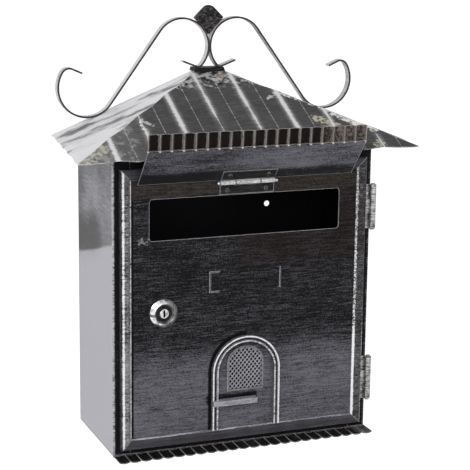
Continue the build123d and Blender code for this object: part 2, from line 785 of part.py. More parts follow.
with BuildPart() as flap_hinge_flap_rivets:
    inner_face = Plane(
        flap_plane.from_local_coords((0, -flap_rivet_reach, flap_knuckle_r - flap_leaf)),
        x_dir=(1, 0, 0),
        z_dir=-flap_plane.z_dir,
    )
    with Locations(inner_face):
        with Locations((-flap_rivet_half_spacing, 0), (flap_rivet_half_spacing, 0)):
            add(rivet(flap_leaf + sheet))
save(flap_hinge_flap_rivets, "flap_hinge_flap_rivets")

# ---------------------------------------------------------------- lock
# Turned parts are drawn as radius against depth behind the door face.
lock_plane = Plane((lock_x, door_face, lock_z), x_dir=(1, 0, 0), z_dir=(0, 0, 1))
lock_axis = Axis((lock_x, door_face, lock_z), (0, 1, 0))
case_inside = front + sheet - door_face
cam_front = case_inside + cam_flange_gap
barrel_back = cam_front - cam_gap

with BuildPart() as lock_body:
    with BuildSketch(lock_plane):
        with BuildLine():
            Polyline(
                (barrel_r, 0),
                (bezel_r, 0),
                (bezel_r, -bezel_edge),
                (bezel_r - bezel_bevel, -bezel_face),
                (dish_mouth_r, -bezel_face),
                (dish_floor_r, -dish_floor),
                (plug_r + plug_clearance, -dish_floor),
                (plug_r + plug_clearance, barrel_back),
                (barrel_r, barrel_back),
                close=True,
            )
        make_face()
    revolve(axis=lock_axis)
save(lock_body, "lock_body")

with BuildPart() as lock_nut:
    with BuildSketch(at_depth(door_back + nut_thickness)):
        with Locations((lock_x, lock_z)):
            RegularPolygon(nut_across / 2, 6, major_radius=False)
            Circle(barrel_r + barrel_clearance, mode=Mode.SUBTRACT)
    extrude(amount=nut_thickness)
save(lock_nut, "lock_nut")


def lock_disc(depth):
    """Sketch plane square to the lock, centred on it, at a depth behind the door face."""
    return Plane((lock_x, door_face + depth, lock_z), x_dir=(1, 0, 0), z_dir=(0, -1, 0))


with BuildPart() as lock_plug:
    with BuildSketch(lock_disc(cam_front)):
        Circle(plug_r)
    extrude(amount=cam_front + plug_face)
    with BuildSketch(lock_disc(cam_front + cam_thickness)):
        Rectangle(tang, tang)
    extrude(amount=cam_thickness)
    with BuildSketch(lock_disc(-plug_face)):
        Rectangle(key_width, key_height)
    extrude(amount=-key_depth, mode=Mode.SUBTRACT)
    with BuildSketch(lock_disc(cam_front + cam_thickness)):
        Circle(screw_shank_r + pin_clearance)
    extrude(amount=screw_depth, mode=Mode.SUBTRACT)
save(lock_plug, "lock_plug")

with BuildPart() as lock_cam:
    with BuildSketch(lock_disc(cam_front + cam_thickness)):
        Circle(cam_hub_r)
        with Locations((0, cam_tip_r - cam_reach)):
            Circle(cam_tip_r)
        make_hull()
        Rectangle(tang + tang_clearance, tang + tang_clearance, mode=Mode.SUBTRACT)
    extrude(amount=cam_thickness)
save(lock_cam, "lock_cam")

with BuildPart() as lock_cam_screw:
    with BuildSketch(lock_disc(cam_front + cam_thickness + screw_head_height)):
        Circle(screw_head_r)
    extrude(amount=screw_head_height)
    with BuildSketch(lock_disc(cam_front + cam_thickness)):
        Circle(screw_shank_r)
    extrude(amount=screw_depth - screw_head_height / 2)
save(lock_cam_screw, "lock_cam_screw")
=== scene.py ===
"""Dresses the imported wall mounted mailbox.

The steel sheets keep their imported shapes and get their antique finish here: black paint with silver
dragged over it by an almost dry brush, brightest where the brush met an edge. The small turned
pieces, which are the domed rivets, the pin of the flap and the bezel of the lock, are made anew.
"""

from __future__ import annotations

import logging
import math
from dataclasses import dataclass, replace
from enum import Enum, IntEnum
from typing import Sequence

import bmesh
import bpy
from mathutils import Matrix, Vector

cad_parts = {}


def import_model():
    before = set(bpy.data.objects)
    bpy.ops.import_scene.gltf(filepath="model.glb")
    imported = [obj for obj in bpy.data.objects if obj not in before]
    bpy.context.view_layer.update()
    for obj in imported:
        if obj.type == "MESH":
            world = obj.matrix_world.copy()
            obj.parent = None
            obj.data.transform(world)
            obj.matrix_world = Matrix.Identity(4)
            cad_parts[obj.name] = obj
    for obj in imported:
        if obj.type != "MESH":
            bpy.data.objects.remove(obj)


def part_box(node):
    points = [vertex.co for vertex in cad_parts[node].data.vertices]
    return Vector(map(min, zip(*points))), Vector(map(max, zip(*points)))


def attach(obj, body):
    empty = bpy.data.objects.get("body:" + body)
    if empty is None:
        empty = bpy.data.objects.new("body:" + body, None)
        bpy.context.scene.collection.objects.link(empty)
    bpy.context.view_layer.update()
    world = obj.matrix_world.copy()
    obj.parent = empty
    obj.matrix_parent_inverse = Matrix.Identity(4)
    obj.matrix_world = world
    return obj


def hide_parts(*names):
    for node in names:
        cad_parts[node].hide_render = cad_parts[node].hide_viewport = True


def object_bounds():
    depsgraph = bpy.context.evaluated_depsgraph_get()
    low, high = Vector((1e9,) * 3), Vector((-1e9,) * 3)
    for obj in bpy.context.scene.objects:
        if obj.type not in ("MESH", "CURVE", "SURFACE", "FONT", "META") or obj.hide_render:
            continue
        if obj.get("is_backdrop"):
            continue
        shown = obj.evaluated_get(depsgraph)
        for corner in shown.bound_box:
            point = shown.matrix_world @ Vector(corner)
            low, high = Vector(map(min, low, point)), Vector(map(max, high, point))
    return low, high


LOG = logging.getLogger("mailbox")
MM = 0.001

# How far a zone goes past the end of the piece that it takes in, in metres.
PAST = 0.01
WELL_PAST = 0.1

# Colours of the strokes on the roof.
WHITE = (0.66, 0.65, 0.64)
GREY = (0.40, 0.40, 0.39)
CREAM = (0.40, 0.385, 0.32)

# Radius that every edge looks rounded to.
SOFT_EDGE = 0.25 * MM

# Where the Mix node has its two values and its result, for each kind of data.
MIX_SOCKETS = {"FLOAT": (2, 3, 0), "RGBA": (6, 7, 2)}

Colour = tuple[float, float, float]
Socket = bpy.types.NodeSocket
Source = bpy.types.NodeSocket | float


class Axis(IntEnum):
    """An axis of the shared frame."""

    X = 0
    Y = 1
    Z = 2


X, Y, Z = Axis


class Run(Enum):
    """Which way the brush ran over a surface; the value holds a stroke's share along X, Y and Z."""

    ACROSS = (1.0, 0.0, 0.0)
    DEEP = (0.0, 1.0, 0.0)
    UPRIGHT = (0.0, 0.0, 1.0)
    UPHILL = (1.0, 0.0, 0.6)


class Bench:
    """A new material and its shader nodes, with one short call for each kind of node."""

    def __init__(self, name: str) -> None:
        """Starts a material with a Principled surface.

        Args:
            name: Name of the material.
        """
        self.material = bpy.data.materials.new(name)
        self.material.use_nodes = True
        self.tree = self.material.node_tree
        self.tree.nodes.clear()
        self.surface = self.node("BsdfPrincipled")
        self.node("OutputMaterial", self.surface.outputs["BSDF"])
        self.place = self.node("TexCoord").outputs["Object"]
        self.axes = dict(zip(Axis, self.node("SeparateXYZ", self.place).outputs))

    def node(self, kind: str, *values: Source | Sequence[float], **options: object) -> bpy.types.ShaderNode:
        """Adds a node.

        Args:
            kind: What follows ShaderNode in the name of its type.
            values: What its first inputs get.
            options: Its settings by name.

        Returns:
            The node.
        """
        node = self.tree.nodes.new(f"ShaderNode{kind}")
        for name, option in options.items():
            setattr(node, name, option)
        for socket, value in zip(node.inputs, values):
            self.feed(socket, value)
        return node

    def feed(self, socket: Socket, value: Source | Sequence[float]) -> None:
        """Links a socket to another, or sets its own value.

        Args:
            socket: Input to set.
            value: Output to link, or a number or a row of numbers to store.
        """
        if isinstance(value, bpy.types.NodeSocket):
            self.tree.links.new(value, socket)
        else:
            socket.default_value = value

    def coat(self, name: str, value: Source | Sequence[float]) -> None:
        """Feeds one of the surface's own inputs."""
        self.feed(self.surface.inputs[name], value)

    def maths(self, operation: str, *values: Source, clamp: bool = False) -> Socket:
        """One step of arithmetic, held between 0 and 1 where clamp is set."""
        return self.node("Math", *values, operation=operation, use_clamp=clamp).outputs["Value"]

    def vector(self, operation: str, *values: Socket | Vector) -> bpy.types.ShaderNode:
        """One step of vector arithmetic."""
        return self.node("VectorMath", *values, operation=operation)

    def rise(self, value: Source, low: float, high: float) -> Socket:
        """A smooth step, from 0 at low to 1 at high, which may be the smaller of the two."""
        return self.node("MapRange", value, low, high, interpolation_type="SMOOTHSTEP").outputs["Result"]

    def within(self, axis: Axis, low: float, high: float, fade: float) -> Socket:
        """A band between two places on one axis.

        Args:
            axis: Axis that the band stands square to.
            low: Where the band starts, in metres.
            high: Where it ends.
            fade: Width of its soft edges, outside those places.

        Returns:
            1 inside the band and 0 outside it.
        """
        middle, reach = (low + high) / 2, (high - low) / 2
        off = self.maths("ABSOLUTE", self.maths("SUBTRACT", self.axes[axis], middle))
        return self.rise(off, reach + fade, reach)

    def held(self, share: Source, spans: Sequence[Span], fade: float) -> Source:
        """Holds a share to where all the given stretches are.

        Args:
            share: The share.
            spans: The stretches.
            fade: Width of their soft edges.

        Returns:
            The share inside, 0 outside.
        """
        for span in spans:
            share = self.maths("MULTIPLY", share, span.lay(self, fade))
        return share

    def from_line(self, along: Axis, place: Vector, legs: bool = False) -> Socket:
        """Distance from a line.

        Args:
            along: Axis that the line runs along.
            place: A point on the line.
            legs: Whether the line spreads into a sheet that hangs down from it, as the middle of an
                arch does between its straight legs.

        Returns:
            The distance in metres.
        """
        first, second = (axis for axis in Axis if axis is not along)
        across = self.maths("SUBTRACT", self.axes[first], place[first])
        above = self.maths("SUBTRACT", self.axes[second], place[second])
        if legs:
            above = self.maths("MAXIMUM", above, 0.0)
        squares = (self.maths("MULTIPLY", leg, leg) for leg in (across, above))
        return self.maths("SQRT", self.maths("ADD", *squares))

    def from_stretch(self, start: Vector, end: Vector) -> Socket:
        """Distance from a straight stretch between two points.

        Args:
            start: One end.
            end: The other end.

        Returns:
            The distance in metres.
        """
        along = end - start
        off = self.vector("SUBTRACT", self.place, start).outputs["Vector"]
        share = self.vector("DOT_PRODUCT", off, along / along.length_squared).outputs["Value"]
        reached = self.vector("SCALE", along).outputs["Vector"]
        self.feed(reached.node.inputs["Scale"], self.maths("ADD", share, 0.0, clamp=True))
        return self.vector("DISTANCE", off, reached).outputs["Value"]

    def grain(
        self, size: Sequence[float], detail: float = 2.0, rough: float = 0.5, seed: float = 0.0
    ) -> Socket:
        """Soft noise, stretched along the axes.

        Args:
            size: Size of a grain along X, Y and Z, in millimetres.
            detail: Number of finer layers.
            rough: Strength of the finer layers.
            seed: Picks another part of the pattern.

        Returns:
            A number around 0.5.
        """
        stretch = self.node("Mapping", self.place)
        stretch.inputs["Scale"].default_value = [1.0 / (length * MM) for length in size]
        stretch.inputs["Location"].default_value = (seed, 2.3 * seed, 3.7 * seed)
        noise = self.node("TexNoise", stretch.outputs["Vector"])
        noise.inputs["Scale"].default_value = 1.0
        noise.inputs["Detail"].default_value = detail
        noise.inputs["Roughness"].default_value = rough
        return noise.outputs["Fac"]

    def blend(self, share: Source, first: Colour | Socket, second: Colour | Socket) -> Socket:
        """A mix of two colours, with a share of the second."""
        colours = (hue if isinstance(hue, bpy.types.NodeSocket) else (*hue, 1.0) for hue in (first, second))
        return self.mix("RGBA", share, *colours)

    def between(self, share: Source, first: Source, second: Source) -> Socket:
        """A mix of two numbers, with a share of the second."""
        return self.mix("FLOAT", share, first, second)

    def mix(self, kind: str, share: Source, *values: Source | Sequence[float]) -> Socket:
        """A mix of two values.

        Args:
            kind: Kind of data.
            share: How much of the second value.
            values: The two values.

        Returns:
            The mixed value.
        """
        *pair, result = MIX_SOCKETS[kind]
        node = self.node("Mix", share, data_type=kind)
        for index, value in zip(pair, values):
            self.feed(node.inputs[index], value)
        return node.outputs[result]

    def rounded(self, radius: float, samples: int) -> Socket:
        """The surface's normal with the edges rounded to a radius in metres."""
        return self.node("Bevel", radius, samples=samples).outputs["Normal"]

    def edges(self, radius: float) -> Socket:
        """Where the surface turns sharply.

        Args:
            radius: How far the wear reaches from an edge, in metres.

        Returns:
            0 on a flat face, rising towards its edges.
        """
        flat = self.node("NewGeometry").outputs["Normal"]
        same = self.vector("DOT_PRODUCT", self.rounded(radius, 6), flat).outputs["Value"]
        return self.maths("SUBTRACT", 1.0, same)

    def wear(self, layers: Layers, bump: float) -> bpy.types.Material:
        """Feeds a finish to the surface.

        Args:
            layers: What the finish gives.
            bump: Height of the bumps, in metres.

        Returns:
            The finished material.
        """
        relief = self.node("Bump", 1.0, bump)
        self.feed(relief.inputs["Height"], layers.height)
        self.feed(relief.inputs["Normal"], self.rounded(SOFT_EDGE, 4))
        self.coat("Base Color", layers.colour)
        self.coat("Metallic", layers.metallic)
        self.coat("Roughness", layers.roughness)
        self.coat("Specular IOR Level", layers.shine)
        self.coat("Normal", relief.outputs["Normal"])
        return self.material


@dataclass(frozen=True)
class Span:
    """A stretch of one axis, in metres, with the width of its soft edges where it has its own."""

    axis: Axis
    low: float
    high: float
    fade: float | None = None

    def lay(self, bench: Bench, fade: float) -> Socket:
        """1 on the stretch and 0 off it; the fade given is for a stretch that has none of its own."""
        return bench.within(self.axis, self.low, self.high, fade if self.fade is None else self.fade)


@dataclass(frozen=True)
class Zone:
    """A soft-edged part of the surface."""

    spans: tuple[Span, ...]
    amount: float
    fade: float = 8.0 * MM

    def lay(self, bench: Bench) -> Source:
        """Its amount inside, 0 outside."""
        return bench.held(self.amount, self.spans, self.fade)


@dataclass(frozen=True)
class Pleats:
    """Crests and valleys at even steps along one axis."""

    axis: Axis
    start: float
    half_pitch: float
    skirt: float = 0.86
    skirt_reach: float = 5.6 * MM
    core: float = 0.34
    core_reach: float = 0.9 * MM
    valley: float = 0.44
    limits: tuple[Span, ...] = ()
    valley_reach: float = 0.9 * MM
    valley_core: float = 0.3 * MM
    blot: float = 46.0
    fade: float = 0.6 * MM

    def lay(self, bench: Bench) -> Source:
        """Adds the feathered crests and the thin valleys to a material.

        Args:
            bench: Material to add them to.

        Returns:
            How bright the brush left them, from 0 to 1.
        """
        along = bench.maths("SUBTRACT", bench.axes[self.axis], self.start)
        off = bench.maths("PINGPONG", along, self.half_pitch)
        fading = bench.rise(bench.grain((self.blot,) * 3, seed=3.0), 0.22, 0.60)
        skirt = bench.maths("MULTIPLY", bench.rise(off, self.skirt_reach, 0.0), self.skirt)
        skirt = bench.maths("MULTIPLY", skirt, fading)
        core = bench.maths("MULTIPLY", bench.rise(off, self.core_reach, 0.3 * self.core_reach), self.core)
        valley = bench.rise(off, self.half_pitch - self.valley_reach, self.half_pitch - self.valley_core)
        bright = bench.maths("ADD", skirt, core)
        share = bench.maths("MAXIMUM", bright, bench.maths("MULTIPLY", valley, self.valley))
        return bench.held(share, self.limits, self.fade)


@dataclass(frozen=True)
class Hoop:
    """A line at a fixed distance from an axis, such as the rim of an arch or a round pin."""

    along: Axis
    place: Vector
    radius: float
    reach: float
    amount: float
    fade: float = 0.5 * MM
    legs: bool = False
    limits: tuple[Span, ...] = ()

    def lay(self, bench: Bench) -> Source:
        """Adds the line to a material.

        Args:
            bench: Material to add it to.

        Returns:
            Its amount on the line, 0 off it.
        """
        out = bench.from_line(self.along, self.place, self.legs)
        off = bench.maths("ABSOLUTE", bench.maths("SUBTRACT", out, self.radius))
        share = bench.maths("MULTIPLY", bench.rise(off, self.reach + self.fade, self.reach), self.amount)
        return bench.held(share, self.limits, self.fade)


@dataclass(frozen=True)
class Smear:
    """A soft stroke between two points."""

    start: Vector
    end: Vector
    reach: float
    amount: float
    fade: float = 3.0 * MM

    def lay(self, bench: Bench) -> Socket:
        """Its amount on the stroke, 0 off it."""
        off = bench.from_stretch(self.start, self.end)
        return bench.maths("MULTIPLY", bench.rise(off, self.reach + self.fade, self.reach), self.amount)


Place = Zone | Pleats | Hoop | Smear


def swing(bench: Bench, noise: Socket, amount: float) -> Socket:
    """A noise around 0.5 made to swing that far about 0."""
    return bench.maths("MULTIPLY", bench.maths("SUBTRACT", noise, 0.5), amount)


@dataclass(frozen=True)
class Stain:
    """A ragged patch of another colour, torn into blots where it has a blot size in millimetres."""

    place: Place
    colour: Colour
    blot: float = 0.0

    def lay(self, bench: Bench, ragged: Socket, seed: float) -> Socket:
        """Adds the patch to a material.

        Args:
            bench: Material to add it to.
            ragged: Noise that tears its edges.
            seed: Picks another part of the pattern.

        Returns:
            Its share, from 0 to 1.
        """
        inside = self.place.lay(bench)
        amount = bench.maths("ADD", inside, ragged)
        if self.blot:
            blots = swing(bench, bench.grain((self.blot,) * 3, seed=seed), 4.0)
            amount = bench.maths("ADD", amount, blots)
        return bench.maths("MULTIPLY", bench.rise(amount, 0.20, 0.90), bench.rise(inside, 0.0, 0.15))


@dataclass(frozen=True)
class Layers:
    """What a finish gives the shader."""

    colour: Socket
    metallic: Socket
    roughness: Socket
    height: Socket
    shine: Source


@dataclass(frozen=True)
class DryBrush:
    """Black paint with silver dragged over it by an almost dry brush."""

    name: str
    run: Run = Run.ACROSS
    ground: Colour = (0.0045, 0.0040, 0.0042)
    silver: Colour = (0.150, 0.147, 0.170)
    bright: Colour = (0.50, 0.50, 0.54)
    cover: float = 0.10
    patchiness: float = 0.35
    patch: tuple[float, float, float] = (42.0, 42.0, 34.0)
    contrast: float = 1.3
    speckle: float = 0.25
    fleck: float = 1.0
    stroke_length: float = 20.0
    stroke_width: float = 0.75
    edge_wear: float = 0.8
    edge_reach: float = 0.7 * MM
    zones: tuple[Place, ...] = ()
    marks: tuple[Place, ...] = ()
    hushes: tuple[Zone, ...] = ()
    ragged: float = 1.1
    stains: tuple[Stain, ...] = ()
    metallic: float = 0.30
    roughness: float = 0.42
    specular: float = 0.05
    bump: float = 0.05 * MM
    seed: float = 0.0
    broad_length: float = 2.4
    broad_width: float = 3.0
    fine_share: float = 0.78
    broad_share: float = 0.22
    scatter: float = 0.8
    dulling: float = 0.2
    speckle_height: float = 0.4

    def stroke_size(self, length: float, width: float) -> list[float]:
        """Size along X, Y and Z of a stroke of that length and width, in millimetres."""
        return [width + (length - width) * share for share in self.run.value]

    def layers(self, bench: Bench) -> Layers:
        """Adds the finish to a material.

        Args:
            bench: Material to add it to.

        Returns:
            Its colour and the rest.
        """
        fine = bench.grain(self.stroke_size(self.stroke_length, self.stroke_width), 3.0, 0.65, self.seed)
        broad_size = (self.broad_length * self.stroke_length, self.broad_width * self.stroke_width)
        broad = bench.grain(self.stroke_size(*broad_size), seed=self.seed + 9.0)
        broad = bench.maths("MULTIPLY", broad, self.broad_share)
        bristles = bench.maths("ADD", bench.maths("MULTIPLY", fine, self.fine_share), broad)
        patches = bench.grain(self.patch, 3.0, 0.6, self.seed + 5.0)
        speckle = bench.grain((self.fleck,) * 3, rough=0.6, seed=self.seed + 3.0)
        level: Source = self.cover
        for noise, amount in ((patches, self.patchiness), (bristles, self.contrast), (speckle, self.speckle)):
            level = bench.maths("ADD", level, swing(bench, noise, amount))
        for zone in self.zones:
            level = bench.maths("ADD", level, zone.lay(bench))
        strokes = bench.rise(level, 0.0, 1.0)
        ragged = swing(bench, bristles, self.ragged)
        ragged = bench.maths("ADD", ragged, swing(bench, speckle, self.scatter))
        colour = bench.blend(strokes, self.ground, self.silver)
        for number, stain in enumerate(self.stains):
            colour = bench.blend(stain.lay(bench, ragged, self.seed + number), colour, stain.colour)
        wear = bench.rise(bench.edges(self.edge_reach), 0.02, 0.2)
        wear = bench.maths("MULTIPLY", wear, self.edge_wear)
        for hush in self.hushes:
            wear = bench.maths("SUBTRACT", wear, hush.lay(bench))
        for mark in self.marks:
            wear = bench.maths("MAXIMUM", wear, mark.lay(bench))
        worn = bench.rise(bench.maths("ADD", wear, ragged), 0.28, 0.80)
        silvered = bench.maths("MAXIMUM", strokes, worn)
        return Layers(
            colour=bench.blend(worn, colour, self.bright),
            metallic=bench.maths("MULTIPLY", silvered, self.metallic),
            roughness=bench.maths("ADD", self.roughness, swing(bench, speckle, self.dulling)),
            height=bench.maths("ADD", bristles, bench.maths("MULTIPLY", speckle, self.speckle_height)),
            shine=self.specular,
        )

    def build(self) -> bpy.types.Material:
        """Makes the material."""
        bench = Bench(self.name)
        return bench.wear(self.layers(bench), self.bump)


@dataclass(frozen=True)
class ManyFaced:
    """A sheet with other finishes on parts of it, such as its inside and its front edge."""

    main: DryBrush
    others: tuple[tuple[DryBrush, Zone], ...]

    def build(self) -> bpy.types.Material:
        """Makes the material.

        Returns:
            The finished material.
        """
        bench = Bench(self.main.name)
        mixed = self.main.layers(bench)
        for other, zone in self.others:
            share, added = zone.lay(bench), other.layers(bench)
            mixed = Layers(
                colour=bench.blend(share, mixed.colour, added.colour),
                metallic=bench.between(share, mixed.metallic, added.metallic),
                roughness=bench.between(share, mixed.roughness, added.roughness),
                height=bench.between(share, mixed.height, added.height),
                shine=bench.between(share, mixed.shine, added.shine),
            )
        return bench.wear(mixed, self.main.bump)


@dataclass(frozen=True)
class Steel:
    """Bare or plated metal, scratched and a little dirty."""

    name: str
    colour: Colour
    shade: Colour
    scratch: tuple[float, float, float] = (9.0, 0.5, 0.5)
    roughness: float = 0.3
    bump: float = 0.02 * MM
    seed: float = 0.0
    dirt_size: float = 4.0
    dirt_share: float = 0.35
    scratch_share: float = 0.65
    dulling: float = 0.12
    shine: float = 0.4

    def layers(self, bench: Bench) -> Layers:
        """Adds the finish to a material.

        Args:
            bench: Material to add it to.

        Returns:
            Its colour and the rest.
        """
        scratches = bench.grain(self.scratch, 3.0, 0.65, self.seed)
        dirt = bench.grain((self.dirt_size,) * 3, 3.0, 0.6, self.seed + 4.0)
        tone = bench.maths("MULTIPLY", scratches, self.scratch_share)
        tone = bench.maths("ADD", tone, bench.maths("MULTIPLY", dirt, self.dirt_share))
        return Layers(
            colour=bench.blend(bench.rise(tone, 0.36, 0.62), self.shade, self.colour),
            metallic=bench.rise(tone, 0.10, 0.20),
            roughness=bench.maths("ADD", self.roughness, bench.maths("MULTIPLY", dirt, self.dulling)),
            height=scratches,
            shine=self.shine,
        )

    def build(self) -> bpy.types.Material:
        """Makes the material."""
        bench = Bench(self.name)
        return bench.wear(self.layers(bench), self.bump)


@dataclass(frozen=True)
class Shaded:
    """Bright metal with painted dark parts, such as painted shade in a deep dish and in the mouth of a
    keyway, and painted dark reflections.
    """

    metal: Steel
    parts: tuple[Place, ...]
    dark: Colour = (0.006, 0.006, 0.007)
    dark_roughness: float = 0.45
    dark_shine: float = 0.03

    def build(self) -> bpy.types.Material:
        """Makes the material.

        Returns:
            The finished material.
        """
        bench = Bench(self.metal.name)
        bright = self.metal.layers(bench)
        share: Source = 0.0
        for part in self.parts:
            share = bench.maths("MAXIMUM", share, part.lay(bench))
        mixed = Layers(
            colour=bench.blend(share, bright.colour, self.dark),
            metallic=bench.between(share, bright.metallic, 0.0),
            roughness=bench.between(share, bright.roughness, self.dark_roughness),
            height=bright.height,
            shine=bench.between(share, bright.shine, self.dark_shine),
        )
        return bench.wear(mixed, self.metal.bump)


Finish = DryBrush | ManyFaced | Steel | Shaded


def dress(finish: Finish, *nodes: str) -> None:
    """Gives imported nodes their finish.

    Args:
        finish: The finish.
        nodes: Names of the nodes.
    """
    material = finish.build()
    for node in nodes:
        piece = bpy.data.objects[node]
        piece.data.materials.clear()
        piece.data.materials.append(material)
        LOG.info("dressed %s", node)


def add_object(name: str, data: bpy.types.ID) -> bpy.types.Object:
    """Adds a new object to the scene.

    Args:
        name: Its name.
        data: Its mesh, lamp or camera.

    Returns:
        The object.
    """
    added = bpy.data.objects.new(name, data)
    bpy.context.scene.collection.objects.link(added)
    return added


class Forge:
    """Builds one new mesh from turned solids."""

    def __init__(self, name: str) -> None:
        """Starts an empty mesh for a piece of that name."""
        self.name = name
        self.mesh = bmesh.new()

    def turn(self, place: Matrix, outline: Sequence[tuple[float, float]], steps: int = 32) -> None:
        """Turns a solid about the Z axis of a place.

        Args:
            place: Where its axis stands.
            outline: Radius and height of each point, from the axis out and back to the axis.
            steps: Number of facets round it.
        """
        points = [self.mesh.verts.new(place @ Vector((radius, 0.0, height))) for radius, height in outline]
        rims = [self.mesh.edges.new(pair) for pair in zip(points, points[1:])]
        bmesh.ops.spin(
            self.mesh,
            geom=[*points, *rims],
            cent=place.translation,
            axis=place.to_3x3() @ Vector((0.0, 0.0, 1.0)),
            angle=math.tau,
            steps=steps,
            use_merge=True,
        )

    def finish(self, body: str, slot: str, finish: Finish, node: str) -> None:
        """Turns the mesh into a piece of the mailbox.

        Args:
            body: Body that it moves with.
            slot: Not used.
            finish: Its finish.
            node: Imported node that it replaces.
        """
        bmesh.ops.remove_doubles(self.mesh, verts=self.mesh.verts, dist=0.001 * MM)
        bmesh.ops.recalc_face_normals(self.mesh, faces=self.mesh.faces)
        data = bpy.data.meshes.new(self.name)
        self.mesh.to_mesh(data)
        self.mesh.free()
        data.shade_smooth()
        data.set_sharp_from_angle(angle=math.radians(35.0))
        data.materials.append(finish.build())
        piece = add_object(self.name, data)
        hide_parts(node)
        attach(piece, body)
        LOG.info("made %s", self.name)


@dataclass
class RivetPair:
    """Two domed rivets side by side, heads towards the front."""

    node: str
    body: str
    along: Axis
    head_height: float = 1.2 * MM
    shank: float = 1.2 * MM
    tail_height: float = 0.8 * MM
    tail_spread: float = 1.35
    tail_end: float = 1.2

    def build(self, finish: Finish) -> None:
        """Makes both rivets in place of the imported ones.

        Args:
            finish: Their finish.
        """
        low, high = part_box(self.node)
        middle = (Vector(low) + Vector(high)) / 2
        across = Z if self.along is X else X
        head = (high[across] - low[across]) / 2
        seat, end = low[Y] + self.head_height, high[Y]
        forge = Forge(f"{self.node}_domed")
        for offset in (low[self.along] + head, high[self.along] - head):
            centre = middle.copy()
            centre[self.along] = offset
            centre.y = seat
            place = Matrix.Translation(centre) @ Matrix.Rotation(math.radians(90.0), 4, "X")
            forge.turn(place, self.outline(head, end - seat), 28)
        forge.finish(self.body, "hinge_steel", finish, self.node)

    def outline(self, head: float, depth: float) -> list[tuple[float, float]]:
        """Outline of one rivet.

        Args:
            head: Radius of its head.
            depth: Length of its shank and tail below the seat.

        Returns:
            Radius and height of each point.
        """
        quarter = [math.radians(angle) for angle in range(90, -1, -15)]
        dome = [(head * math.cos(turn), self.head_height * math.sin(turn)) for turn in quarter]
        tail = self.tail_height - depth
        foot = [(self.shank, 0.0), (self.shank, tail), (self.tail_spread * self.shank, tail - 0.1 * MM)]
        return [*dome, *foot, (self.tail_end * self.shank, -depth), (0.0, -depth)]


